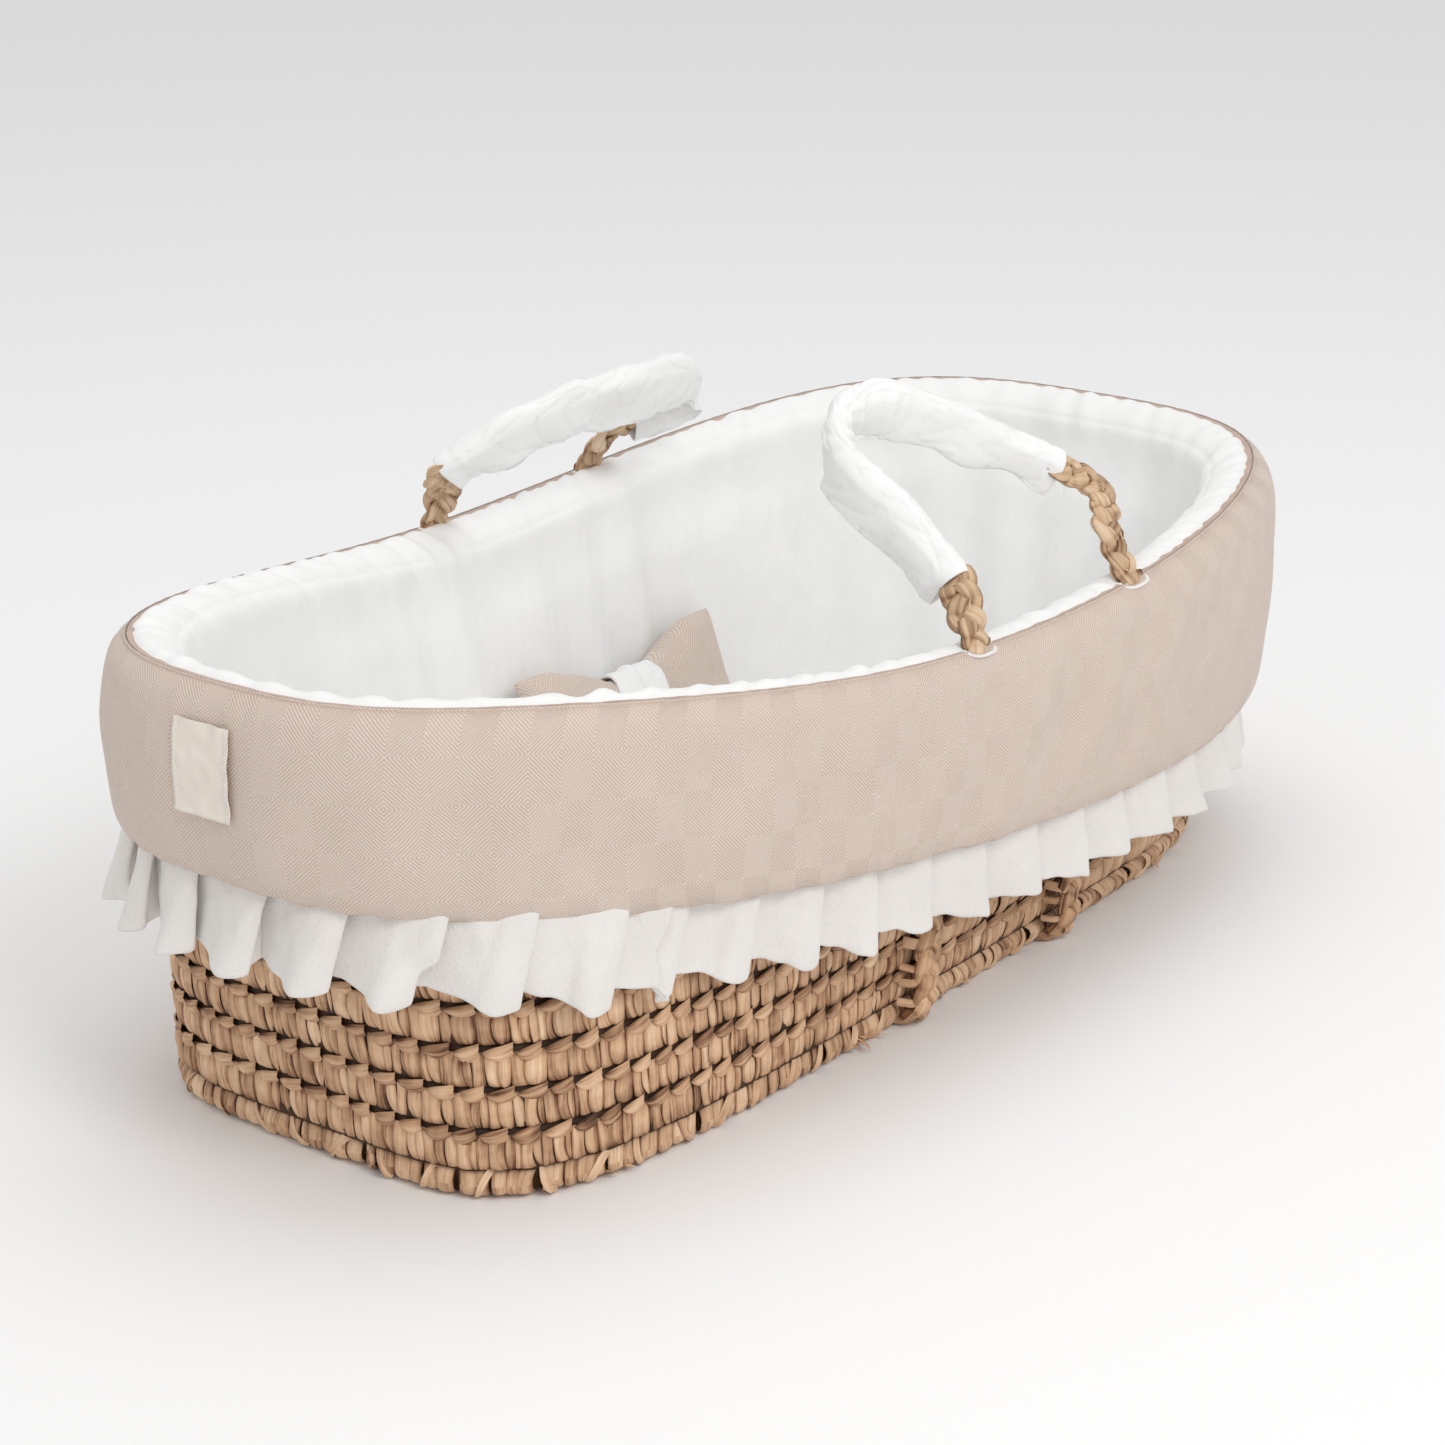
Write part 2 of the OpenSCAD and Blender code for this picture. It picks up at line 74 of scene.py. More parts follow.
# ---- the basket's shape, the same as the CAD's ----
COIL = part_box("base_coil")
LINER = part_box("liner_wall")
BASE_A = COIL[1].x - 0.0016
BASE_B = COIL[1].y - 0.0016
RIM_A = LINER[1].x + 0.0043
RIM_B = 0.211
FOOT_Z = LINER[1].z
FOOT_RISE, HEAD_RISE = 0.043, 0.025
SIDE_Z = FOOT_Z - FOOT_RISE
HEM_MID, HEM_DROP = 0.120, 0.074
COURSES = 10
RIM_ROLL = 0.022         # from the wall's top to the crest
COIL_R = 0.008
COIL_Z = COIL_R + 0.0009
COIL_IN = 0.006          # from the base's outline in to the middle of the coil
WALL_Z0 = 0.0163
STRAP_X = (-0.040, 0.120)
MM = 0.001
FLOOR_GAP = 0.3 * MM
TAU = 2 * math.pi


def oval(ha, hb, n, th):
    x, y = RIM_A * np.cos(th), RIM_B * np.sin(th)
    k = ((np.abs(x) / ha) ** n + (np.abs(y) / hb) ** n) ** (-1 / n)
    return x * k, y * k


def egg(u):
    return 1 + 0.12 * u - 0.128 * (u * u - u**4)


def rim(th, d):
    x, y = oval(RIM_A + d, RIM_B + d, 2.8, th)
    return x, y * egg(x / (RIM_A + d))


def base(th, d):
    return oval(BASE_A + d, BASE_B + d, 5, th)


def along(th):
    return rim(th, 0)[0] / RIM_A


def crest(u):
    return SIDE_Z + np.where(u < 0, FOOT_RISE, HEAD_RISE) * (1.8 * u * u - 0.8 * u**4)


def hem(u):
    return HEM_MID - HEM_DROP / 2 * u + 0.018 * u * u


def wall_top(u):
    return crest(u) - RIM_ROLL


def wall(th, z, d):
    """The woven wall's outer face moved out by d, at height z."""
    f = np.minimum(np.maximum(z, 0) / wall_top(along(th)), 1) ** 1.6
    b, r = base(th, d), rim(th, d - 0.010)
    return np.stack([b[0] + (r[0] - b[0]) * f, b[1] + (r[1] - b[1]) * f, z + 0 * th], -1)


def rim3(th, d, z):
    x, y = rim(th, d)
    return np.stack([x, y, z + 0 * th], -1)


def clear3(th, d, z, off):
    """As rim3, but at least off away from the wall."""
    r, w = rim3(th, d, z), wall(th, z, off)
    far = (r[..., 0] ** 2 + r[..., 1] ** 2 > w[..., 0] ** 2 + w[..., 1] ** 2)[..., None]
    return np.where(far, r, w)


# Distance round the basket against the angle, along the rim and along the base
FINE = np.linspace(0, TAU, 2881)


def lengths(points):
    """Distance along a line of points."""
    return np.concatenate([[0], np.cumsum(np.linalg.norm(np.diff(points, axis=0), axis=1))])


RIM_S = lengths(np.stack(rim(FINE, 0), -1))
BASE_S = lengths(wall(FINE, 0.06 + 0 * FINE, 0)[..., :2])
RIM_L, BASE_L = RIM_S[-1], BASE_S[-1]


def rim_angle(s):
    return np.interp(np.mod(s, RIM_L), RIM_S, FINE)


def base_angle(s):
    return np.interp(np.mod(s, BASE_L), BASE_S, FINE)


def bell(x, middle, width):
    return np.exp(-((x - middle) / width) ** 2)


def curve4(p0, p1, p2, p3, f):
    """The point a share f of the way from p1 to p2, on the smooth curve through all four."""
    return 0.5 * (2 * p1 + (p2 - p0) * f + (2 * p0 - 5 * p1 + 4 * p2 - p3) * f**2
                  + (3 * p1 - p0 - 3 * p2 + p3) * f**3)


def unit(v):
    return v / np.linalg.norm(v, axis=-1, keepdims=True)


def waves(s, length, seed, low, high, count=14):
    """Smooth random wave round the basket: mean 0, about 1 high, repeating after length."""
    rng = np.random.default_rng(seed)
    total = 0 * s
    for _ in range(count):
        k = rng.integers(low, high + 1)
        total = total + rng.normal() * np.cos(TAU * k * s / length + rng.uniform(0, TAU))
    return total / math.sqrt(count / 2)


def rough(u, v, seed, scale, count=18):
    """Smooth random field over u and v, with features about scale across."""
    rng = np.random.default_rng(seed)
    total = 0 * (u + v)
    for _ in range(count):
        a, k = rng.uniform(0, TAU), rng.uniform(0.6, 1.6) / scale
        total = total + np.cos(TAU * k * (u * math.cos(a) + v * math.sin(a)) + rng.uniform(0, TAU))
    return total / math.sqrt(count / 2)


# ---- meshes ----
def mark(mesh, key, value):
    """Stores a number or a vector at each point, for the materials."""
    value = np.asarray(value, np.float32)
    kind, slot = ("FLOAT_VECTOR", "vector") if value.ndim == 2 else ("FLOAT", "value")
    mesh.attributes.new(key, kind, "POINT").data.foreach_set(slot, value.ravel())


def make(name, verts, faces, body=None, material=None, **attrs):
    mesh = bpy.data.meshes.new(name)
    verts = np.asarray(verts, np.float32).reshape(-1, 3)
    mesh.from_pydata(verts.tolist(), [], faces)
    for key, value in attrs.items():
        mark(mesh, key, value)
    mesh.polygons.foreach_set("use_smooth", [True] * len(mesh.polygons))
    mesh.update()
    obj = bpy.data.objects.new(name, mesh)
    bpy.context.scene.collection.objects.link(obj)
    if material:
        mesh.materials.append(material)
    if body:
        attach(obj, body)
    return obj


def thicken(piece, thickness):
    solid = piece.modifiers.new("thickness", "SOLIDIFY")
    solid.thickness, solid.offset = thickness, 0


def soften(piece):
    soft = piece.modifiers.new("soft", "SUBSURF")
    soft.levels = soft.render_levels = 1


def quads(n, m, ring_n=False, ring_m=False, start=0):
    """Faces of an n by m grid of points, closed round in either direction."""
    i = np.arange(n if ring_n else n - 1)[:, None]
    j = np.arange(m if ring_m else m - 1)[None, :]
    i2, j2 = (i + 1) % n, (j + 1) % m
    f = np.stack([i * m + j, i2 * m + j, i2 * m + j2, i * m + j2], -1) + start
    return f.reshape(-1, 4).tolist()


def leaf_place(across, along, rng):
    """Where each point lies across and along its leaf, and a random number for the leaf."""
    across, along = np.broadcast_arrays(across, along)
    return np.stack([across, along, np.full(across.shape, rng.uniform(0, 9))], -1)


class Patches:
    """Many small grids gathered into one mesh, none of it below the floor."""

    def __init__(self):
        self.v, self.f, self.tone, self.leaf, self.n = [], [], [], [], 0

    def add(self, pts, tone, leaf):
        n, m = pts.shape[:2]
        pts = np.stack([pts[..., 0], pts[..., 1], np.maximum(pts[..., 2], FLOOR_GAP)], -1)
        self.v.append(pts.reshape(-1, 3))
        self.f += quads(n, m, start=self.n)
        self.tone.append(np.broadcast_to(tone, (n, m)).ravel())
        self.leaf.append(np.broadcast_to(leaf, (n, m, 3)).reshape(-1, 3))
        self.n += n * m

    def build(self, name, body, material):
        return make(name, np.concatenate(self.v), self.f, body, material,
                    tone=np.concatenate(self.tone), leaf=np.concatenate(self.leaf))


# ---- materials ----
class Shade:
    def __init__(self, name, roughness, **plain):
        self.mat = bpy.data.materials.new(name)
        self.mat.use_nodes = True
        self.tree = self.mat.node_tree
        self.out = self.tree.nodes["Principled BSDF"]
        self.out.inputs["Roughness"].default_value = roughness
        for key, value in plain.items():
            self.out.inputs[key.replace("_", " ")].default_value = value

    def put(self, socket, value):
        if isinstance(value, bpy.types.NodeSocket):
            self.tree.links.new(value, socket)
        elif isinstance(value, (tuple, list)) and len(socket.default_value) == 4:
            socket.default_value = (*value[:3], 1)
        else:
            socket.default_value = value

    def node(self, kind, out=0, inputs=(), **props):
        n = self.tree.nodes.new("ShaderNode" + kind)
        for key, value in props.items():
            setattr(n, key, value)
        for key, value in dict(inputs).items():
            self.put(n.inputs[key], value)
        return n.outputs[out]

    def attr(self, name, out="Fac"):
        return self.node("Attribute", out, attribute_name=name)

    def math(self, op, a, b=0.0):
        return self.node("Math", inputs={0: a, 1: b}, operation=op)

    def scale(self, vector, by):
        return self.node("VectorMath", inputs={0: vector, 1: by}, operation="MULTIPLY")

    def noise(self, vector, scale, detail=3.0, rough=0.55):
        return self.node("TexNoise", "Fac", {"Vector": vector, "Scale": scale, "Detail": detail,
                                             "Roughness": rough})

    def span(self, value, a, b, lo=0.0, hi=1.0):
        return self.node("MapRange", inputs={0: value, 1: a, 2: b, 3: lo, 4: hi})

    def mix(self, fac, a, b):
        n = self.tree.nodes.new("ShaderNodeMix")
        n.data_type = "RGBA"
        for socket, value in ((n.inputs[0], fac), (n.inputs[6], a), (n.inputs[7], b)):
            self.put(socket, value)
        return n.outputs[2]

    def ramp(self, fac, stops):
        n = self.tree.nodes.new("ShaderNodeValToRGB")
        e = n.color_ramp.elements
        while len(e) < len(stops):
            e.new(0.5)
        for point, (at, color) in zip(e, stops):
            point.position, point.color = at, (*color, 1)
        self.put(n.inputs[0], fac)
        return n.outputs[0]

    def finish(self, color, height=None, distance=0.001):
        self.put(self.out.inputs["Base Color"], color)
        if height is not None:
            bump = self.node("Bump", inputs={"Height": height, "Distance": distance, "Strength": 1.0})
            self.put(self.out.inputs["Normal"], bump)
        return self.mat


GAP_SHADE = (0.05, 0.022, 0.010)      # painted shade: the darkest brown, painted deep between the leaves


def palm(name, dark, mid, light):
    """Dry palm leaf: fibres and creases along each strip, a value at each point that holds the leaf's own
    random tone and painted shade, and painted shade in the folds and crease grooves.
    """
    s = Shade(name, 0.58, Specular_IOR_Level=0.35)
    leaf, tone = s.attr("leaf", "Vector"), s.attr("tone")
    fibre = s.noise(s.scale(leaf, (1500.0, 45.0, 37.0)), 1.0, 3.0, 0.6)
    crease = s.noise(s.scale(leaf, (420.0, 16.0, 91.0)), 1.0, 2.0, 0.5)
    blotch = s.noise(s.scale(leaf, (60.0, 60.0, 11.0)), 1.0, 2.0)
    shade = s.math("ADD", tone, s.span(blotch, 0.3, 0.7, -0.14, 0.14))
    shade = s.math("ADD", shade, s.span(fibre, 0.25, 0.75, -0.13, 0.13))
    # painted shade in the crease grooves, where the bump height is low
    shade = s.math("ADD", shade, s.span(crease, 0.32, 0.55, -0.20, 0.05))
    color = s.ramp(shade, [(0.0, GAP_SHADE), (0.18, dark), (0.52, mid), (0.92, light)])
    height = s.math("ADD", s.math("MULTIPLY", fibre, 0.35), crease)
    return s.finish(color, height, 0.0011)


def cotton(name, color, shade, weave=1400.0, nap=0.0, bump=0.00025):
    """Plain woven cotton: a fine over-and-under weave, with an optional brushed nap."""
    s = Shade(name, 0.88, Sheen_Weight=0.25 + nap, Sheen_Roughness=0.45, Specular_IOR_Level=0.2)
    where = s.node("TexCoord", "Object")
    threads = s.noise(s.scale(where, (weave, weave, weave)), 1.0, 1.0, 0.4)
    soft = s.noise(where, 26.0, 3.0, 0.5)
    fuzz = s.noise(where, 420.0, 3.0, 0.7)
    tint = s.mix(s.span(soft, 0.3, 0.7), shade, color)
    tint = s.mix(s.span(fuzz, 0.3, 0.75, 0.0, 0.35 + nap), tint, [c * 0.93 for c in color])
    height = s.math("ADD", s.math("MULTIPLY", threads, 0.5), s.math("MULTIPLY", fuzz, 0.5 + 3 * nap))
    return s.finish(tint, height, bump)


def twill(name, light, dark, pitch=0.0022, across=0.036, up=0.053):
    """Diamond herringbone: fine stripes at 45 degrees that turn back across and up."""
    s = Shade(name, 0.85, Sheen_Weight=0.3, Sheen_Roughness=0.4, Specular_IOR_Level=0.2)
    where = s.attr("cloth", "Vector")
    part = s.node("SeparateXYZ", 0, {0: where}).node
    wobble = s.noise(where, 130.0, 2.0)
    u = s.math("PINGPONG", part.outputs[0], across / 2)
    v = s.math("PINGPONG", part.outputs[1], up / 2)
    phase = s.math("MULTIPLY", s.math("ADD", u, v), TAU / pitch)
    phase = s.math("ADD", phase, s.math("MULTIPLY", wobble, 1.6))
    stripe = s.span(s.math("SINE", phase), -0.7, 0.9)
    yarn = s.noise(s.scale(where, (1900.0, 1900.0, 1.0)), 1.0, 2.0, 0.6)
    cloud = s.noise(where, 22.0, 3.0, 0.6)
    color = s.mix(s.math("MULTIPLY", stripe, 0.75), dark, light)
    color = s.mix(s.span(yarn, 0.35, 0.75, 0.0, 0.22), color, [c * 0.86 for c in dark])
    color = s.mix(s.span(cloud, 0.35, 0.7, 0.0, 0.14), color, [c * 0.93 for c in light])
    fleck = s.noise(s.scale(where, (330.0, 600.0, 1.0)), 1.0, 1.0)
    color = s.mix(s.span(fleck, 0.735, 0.765, 0.0, 0.6), color, (0.86, 0.82, 0.78))
    # painted shade from the edge attribute: darker towards the cover's hem, where it rolls under, and
    # along its top seam
    color = s.mix(s.attr("edge"), color, [c * k for c, k in zip(dark, (0.90, 0.80, 0.74))])
    height = s.math("ADD", stripe, s.math("MULTIPLY", yarn, 0.6))
    return s.finish(color, height, 0.00030)


WALL_LEAF = palm("palm_wall", (0.25, 0.118, 0.058), (0.64, 0.395, 0.232), (0.90, 0.645, 0.43))
STRAP_LEAF = palm("palm_strap", (0.23, 0.108, 0.052), (0.60, 0.360, 0.203), (0.84, 0.585, 0.38))
ROPE_LEAF = palm("palm_rope", (0.27, 0.140, 0.070), (0.63, 0.43, 0.265), (0.86, 0.68, 0.49))
BLUSH = twill("blush_twill", (0.870, 0.765, 0.685), (0.615, 0.485, 0.405))
WHITE = cotton("white_cotton", (0.92, 0.92, 0.912), (0.875, 0.875, 0.868))
# the frill's own warm off-white, set darker still as painted shade under the cover's hem
FRILL = cotton("brushed_cotton", (0.84, 0.81, 0.775), (0.77, 0.735, 0.70), 900.0, 0.25, 0.0005)
LABEL = cotton("label_cotton", (0.84, 0.765, 0.69), (0.80, 0.72, 0.64), 2200.0)
THREAD = cotton("thread", (0.88, 0.86, 0.83), (0.80, 0.78, 0.75), 3000.0)
# Painted shade: a darkened copy of the palm, for the CAD's wall, floor and rim coil that show only deep
# in the weave's gaps.
INSIDE_SHADE = palm("palm_inside_shade", (0.10, 0.05, 0.022), (0.22, 0.125, 0.062), (0.36, 0.22, 0.12))


# ---- woven wall ----
def course_z(u, c):
    return WALL_Z0 + (wall_top(u) - WALL_Z0) * c / COURSES


def covered(s, c):
    """Whether the cover hides the wall above course c, at s round the base."""
    u = along(base_angle(s))
    return course_z(u, c) > hem(u) + 4 * MM


SLOT = 2.3 * MM       # half height of the dark slot between two courses
TUCK = 17.0 * MM      # spacing of the leaf tucks along a slot


def weave():
    rng = np.random.default_rng(11)
    out = Patches()
    across = np.array([0, 0.1, 0.3, 0.5, 0.7, 0.9, 1.0])
    up = np.linspace(0, 1, 11)
    shape = np.sin(np.pi * np.clip(up, 0.02, 0.98)) ** 0.42      # bulge of a course up its height
    for c in range(COURSES):
        s = rng.uniform(0, TUCK)
        end = s + BASE_L - 3 * MM
        shift = rng.uniform(0, TUCK)
        while s < end:
            w = float(np.clip(rng.lognormal(math.log(7.2), 0.36), 3.6, 13)) * MM
            w = min(w, end - s + 2 * MM)
            if covered(s + w / 2, c):
                s += w
                continue
            tilt = rng.normal(0, 0.9) * MM
            lift = rng.normal(0, 0.45) * MM
            dip = rng.uniform(0.7, 1.5) * MM
            a = across[None, :]
            v = up[:, None]
            # strips draw together where the tucks hold them
            pos = s + w * a + tilt * (v - 0.5)
            pinch = np.abs(v - 0.5) * 2
            pos = pos - 1.7 * MM * np.sin(TAU * (pos - shift) / TUCK) * pinch**2
            th = base_angle(pos)
            u = along(th)
            lo, hi = course_z(u, c), course_z(u, c + 1)
            z = lo + (hi - lo) * v + (0.5 - v) * 2 * SLOT * 0.9
            edge = np.minimum(a, 1 - a) * w
            groove = np.exp(-edge / (0.9 * MM))
            fold = 0.28 * MM * np.cos(TAU * (a * w / (3.1 * MM) + rng.uniform(0, 1)) + 2 * v)
            d = 3.1 * MM * shape[:, None] + lift - dip * groove + fold * shape[:, None]
            d = d + 0.5 * MM * np.sin(np.pi * a) * min(w / (7 * MM), 1.3)
            # painted shade: darker in the groove along each strip's edges and towards the top and bottom
            # of each course, down into the slots; the normal spread is the leaf's own random tone
            tone = 0.60 + rng.normal(0, 0.10) - 0.24 * groove - 0.42 * (1 - shape[:, None]) ** 1.2
            out.add(wall(th, z, d), tone, leaf_place(a * w, v * (hi - lo), rng))
            s += w - rng.uniform(0, 0.5) * MM
    return out


def tucks(out):
    """Leaf tucks over each seam: a squared, taller end towards +s and a rounded lower edge."""
    rng = np.random.default_rng(23)
    n, m = 9, 7
    a = np.linspace(0, 1, n)[:, None]
    b = np.linspace(0, 1, m)[None, :]
    for c in range(1, COURSES):
        s = rng.uniform(0, TUCK)
        end = s + BASE_L
        while s < end - TUCK / 2:
            w = TUCK * rng.uniform(0.88, 1.12)
            if covered(s, c):
                s += w
                continue
            k = rng.uniform(0.85, 1.15)
            # walking round anticlockwise, the near side runs towards +X
            top = (-2.4 + 5.6 * a**0.8 + rng.normal(0, 0.3)) * k * MM
            low = (-2.8 - 4.2 * np.sin(np.pi * np.clip(a, 0, 1) ** 0.9) ** 0.7 - 1.2 * a) * k * MM
            zz = low + (top - low) * b
            pos = s + (0.04 + 0.96 * a) * w + 0 * b
            th = base_angle(pos)
            u = along(th)
            z = course_z(u, c) + zz
            body = np.sin(np.pi * np.clip(b, 0.03, 0.97)) ** 0.5
            body = body * np.sin(np.pi * np.clip(a, 0.04, 0.93)) ** 0.4
            d = (0.3 + 3.6 * body + 0.9 * a + rng.normal(0, 0.2)) * MM
            d = d + 0.25 * MM * np.cos(TAU * (b * 2.2 + a))
            # painted shade: darker round the tuck's edges and towards its low start, where it goes under;
            # the normal spread is random tone
            tone = 0.60 + rng.normal(0, 0.09) - 0.30 * (1 - body) - 0.10 * (1 - a)
            out.add(wall(th, z, d), tone, leaf_place(b * 7 * MM, a * w, rng))
            s += w
    return out


skin = tucks(weave()).build("woven_wall", "basket", WALL_LEAF)
# painted shade: the darkened palm copy on the CAD's hidden wall, floor and rim coil
for node in ("basket_wall", "basket_floor", "rim_coil"):
    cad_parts[node].data.materials.clear()
    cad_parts[node].data.materials.append(INSIDE_SHADE)


# ---- base coil ----
STRAP_HALF = 0.0108      # where a strap passes under the coil,
STRAP_TOP_Z = 0.0072     # the coil stays above this


def coil():
    rng = np.random.default_rng(31)
    out = Patches()
    sides = np.linspace(0, TAU, 17)
    across = np.array([0, 0.12, 0.35, 0.65, 0.88, 1.0])
    s, end = 0.0, BASE_L - 3 * MM
    while s < end:
        w = float(np.clip(rng.normal(9.5, 2.2), 4.5, 14)) * MM
        w = min(w, end + 3 * MM - s)
        a, t = across[:, None], sides[None, :]
        slant = rng.normal(2.0, 1.6) * MM
        pos = s + a * w + slant * np.cos(t)
        th = base_angle(pos)
        groove = np.exp(-np.minimum(a, 1 - a) * w / (0.9 * MM))
        r = COIL_R + (0.3 + 0.6 * np.sin(np.pi * a) + rng.normal(0, 0.25) - 1.3 * groove
                      + 0.2 * np.cos(a * w / MM * 2.0 + t)) * MM
        x, y = base(th, r * np.cos(t) - COIL_IN)
        z = np.maximum(COIL_Z + r * np.sin(t), FLOOR_GAP)
        for xs in STRAP_X:
            z = np.where(np.abs(x - xs) < STRAP_HALF, np.maximum(z, STRAP_TOP_Z), z)
        # painted shade in the grooves between wraps; the normal spread is random tone
        tone = 0.60 + rng.normal(0, 0.10) - 0.30 * groove + 0 * t
        out.add(np.stack([x, y, z], -1), tone, leaf_place(a * w, t * COIL_R, rng))
        s += w - 0.3 * MM
    return out


def strip(out, path, half, rng, normal, tone=0.6, taper=None):
    """A flat leaf along a path, half wide, facing normal."""
    path = np.asarray(path, float)
    t = np.gradient(path, axis=0)
    t /= np.linalg.norm(t, axis=1, keepdims=True)
    n = np.broadcast_to(np.asarray(normal, float), path.shape)
    side = np.cross(t, n)
    side /= np.linalg.norm(side, axis=1, keepdims=True)
    up = np.cross(side, t)
    a = np.array([-1, -0.5, 0, 0.5, 1])
    wide = half * (np.ones(len(path)) if taper is None else taper)
    pts = path[:, None, :] + side[:, None, :] * (wide[:, None] * a)[..., None]
    pts = pts + up[:, None, :] * (0.35 * MM * (1 - a**2))[None, :, None]
    leaf = leaf_place(a * half, lengths(path)[:, None], rng)
    # painted shade, darker towards the strip's two edges
    out.add(pts, tone + rng.normal(0, 0.06) - 0.1 * np.abs(a)[None, :] ** 3, leaf)


LACE_R = COIL_R + 1.25 * MM
# Clumps of frayed ends on the near side: place along the basket, how many, longest in mm
FRAYS = ((-0.085, 9, 13.0), (-0.30, 4, 7.8), (0.02, 3, 9.1), (0.26, 3, 7.8))


def lacing(out):
    """Crossed lacing over the coil, and the frayed ends that stick out of it."""
    rng = np.random.default_rng(37)
    for s in np.arange(0.01, BASE_L - 0.02, 0.031):
        s0, s1 = s + rng.normal(0, 3) * MM, s + rng.normal(12, 3) * MM
        if rng.uniform() < 0.5:
            s0, s1 = s1, s0
        f = np.linspace(0, 1, 9)
        th = base_angle(s0 + (s1 - s0) * f)
        t = math.radians(78) - math.radians(135) * f
        x, y = base(th, LACE_R * np.cos(t) - COIL_IN)
        path = np.stack([x, y, COIL_Z + LACE_R * np.sin(t)], -1)
        bx, by = base(th, 0.01)
        normal = np.stack([bx, by * 4, 0.1 + 0 * bx], -1)
        strip(out, path, rng.uniform(1.6, 2.8) * MM, rng, normal, 0.68)
    for at, count, longest in FRAYS:
        for _ in range(count):
            length = rng.uniform(4, longest) * MM
            x0 = at + rng.normal(0, 5) * MM
            y0 = -BASE_B * (1 - (abs(x0) / BASE_A) ** 5) ** 0.2 - 1.0 * MM
            f = np.linspace(0, 1, 6)
            turn = rng.uniform(-0.6, 1.0)
            path = np.stack([x0 + length * f * math.sin(turn), y0 - length * f * math.cos(turn),
                             0.006 + rng.uniform(-2, 3) * MM - 0.3 * length * f**2], -1)
            path[:, 2] = np.maximum(path[:, 2], 0.0006)
            strip(out, path, rng.uniform(0.5, 1.4) * MM, rng, (0, -0.3, 1), 0.62,
                  np.clip(1.05 - f**2, 0.08, 1))
    return out


coil_piece = lacing(coil()).build("wrapped_base_coil", "basket", WALL_LEAF)
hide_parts("base_coil")


# ---- plaits ----
def spline(points, steps):
    """Smooth curve through the points, with steps to each span."""
    p = np.asarray(points, float)
    q = np.concatenate([p[:1], p, p[-1:]])
    f = (np.arange(steps) / steps)[:, None]
    spans = [curve4(*four, f) for four in zip(q[:-3], q[1:-2], q[2:-1], q[3:])]
    return np.concatenate([*spans, p[-1:]])


def even(path, step):
    """The same path with points a step apart, and their distances along it."""
    s = lengths(path)
    at = np.linspace(0, s[-1], max(2, int(round(s[-1] / step)) + 1))
    return np.stack([np.interp(at, s, path[:, k]) for k in range(3)], -1), at


PLAIT_STEP = 1.6 * MM
PLAIT_SIDES = 12


def plait(out, path, flat, half_w, half_t, wide, thick, pitch, seed, size=1.0):
    """Three strands plaited along a path. flat is the direction of the plait's thickness."""
    rng = np.random.default_rng(seed)
    p, s = even(path, PLAIT_STEP)
    t = unit(np.gradient(p, axis=0))
    n = np.broadcast_to(np.asarray(flat, float), p.shape)
    n = unit(n - t * np.sum(n * t, -1, keepdims=True))
    b = np.cross(t, n)
    for k in range(3):
        phase = TAU * (s / pitch + k / 3) + 0.25 * np.sin(s / 0.03 + k)
        c = p + b * (size * half_w * np.sin(phase))[:, None] \
            + n * (size * half_t * np.sin(2 * phase))[:, None]
        ct = unit(np.gradient(c, axis=0))
        cn = unit(n - ct * np.sum(n * ct, -1, keepdims=True))
        cb = np.cross(ct, cn)
        twist = 0.5 * np.cos(phase)
        cn, cb = (cn * np.cos(twist)[:, None] + cb * np.sin(twist)[:, None],
                  cb * np.cos(twist)[:, None] - cn * np.sin(twist)[:, None])
        a = np.linspace(0, TAU, PLAIT_SIDES + 1)
        wrap = np.exp(-((np.mod(s + rng.uniform(0, 0.01), 0.0105) - 0.005) / 0.0008) ** 2)[:, None]
        swell = 1 + 0.07 * np.sin(TAU * s / 0.021 + rng.uniform(0, TAU))[:, None] - 0.09 * wrap
        ridge = 1 + 0.09 * np.cos(5 * a + rng.uniform(0, TAU))[None, :]
        ridge = ridge + 0.05 * np.sin(3 * a[None, :] + s[:, None] / 0.006)
        r = swell * ridge * (size[:, None] if np.ndim(size) else size)
        pts = c[:, None, :] + cb[:, None, :] * (wide * np.cos(a) * r)[..., None] \
            + cn[:, None, :] * (thick * np.sin(a) * r)[..., None]
        # painted shade at each strand's sides, where it turns under its neighbours, and in the pinch at
        # each wrap; the slow change along the strand is the leaf's own random tone
        tone = 0.58 + rng.normal(0, 0.05) \
            + 0.10 * np.sin(TAU * s / 0.05 + rng.uniform(0, 6))[:, None] \
            - 0.20 * np.abs(np.cos(a))[None, :] ** 6 + 0.06 * np.cos(5 * a)[None, :] - 0.22 * wrap
        out.add(pts, tone, leaf_place(a * wide * 0.8, s[:, None], rng))
    return out


def wall_at(x, z, off):
    """Half width of the wall's outer face at x and z, moved out by off."""
    th = np.linspace(0.02, math.pi - 0.02, 700)
    face = wall(th, np.full(th.shape, float(z)), off)
    return float(np.interp(x, face[::-1, 0], face[::-1, 1]))


# A strap's middle off the wall, at shares of the wall's height: it bulges near the base
STRAP_OFF = ((0.85, 7.8), (0.7, 8.0), (0.55, 8.5), (0.4, 9.5), (0.28, 11.2), (0.18, 13.4), (0.10, 15.0))
UNDER_Z = 0.0040


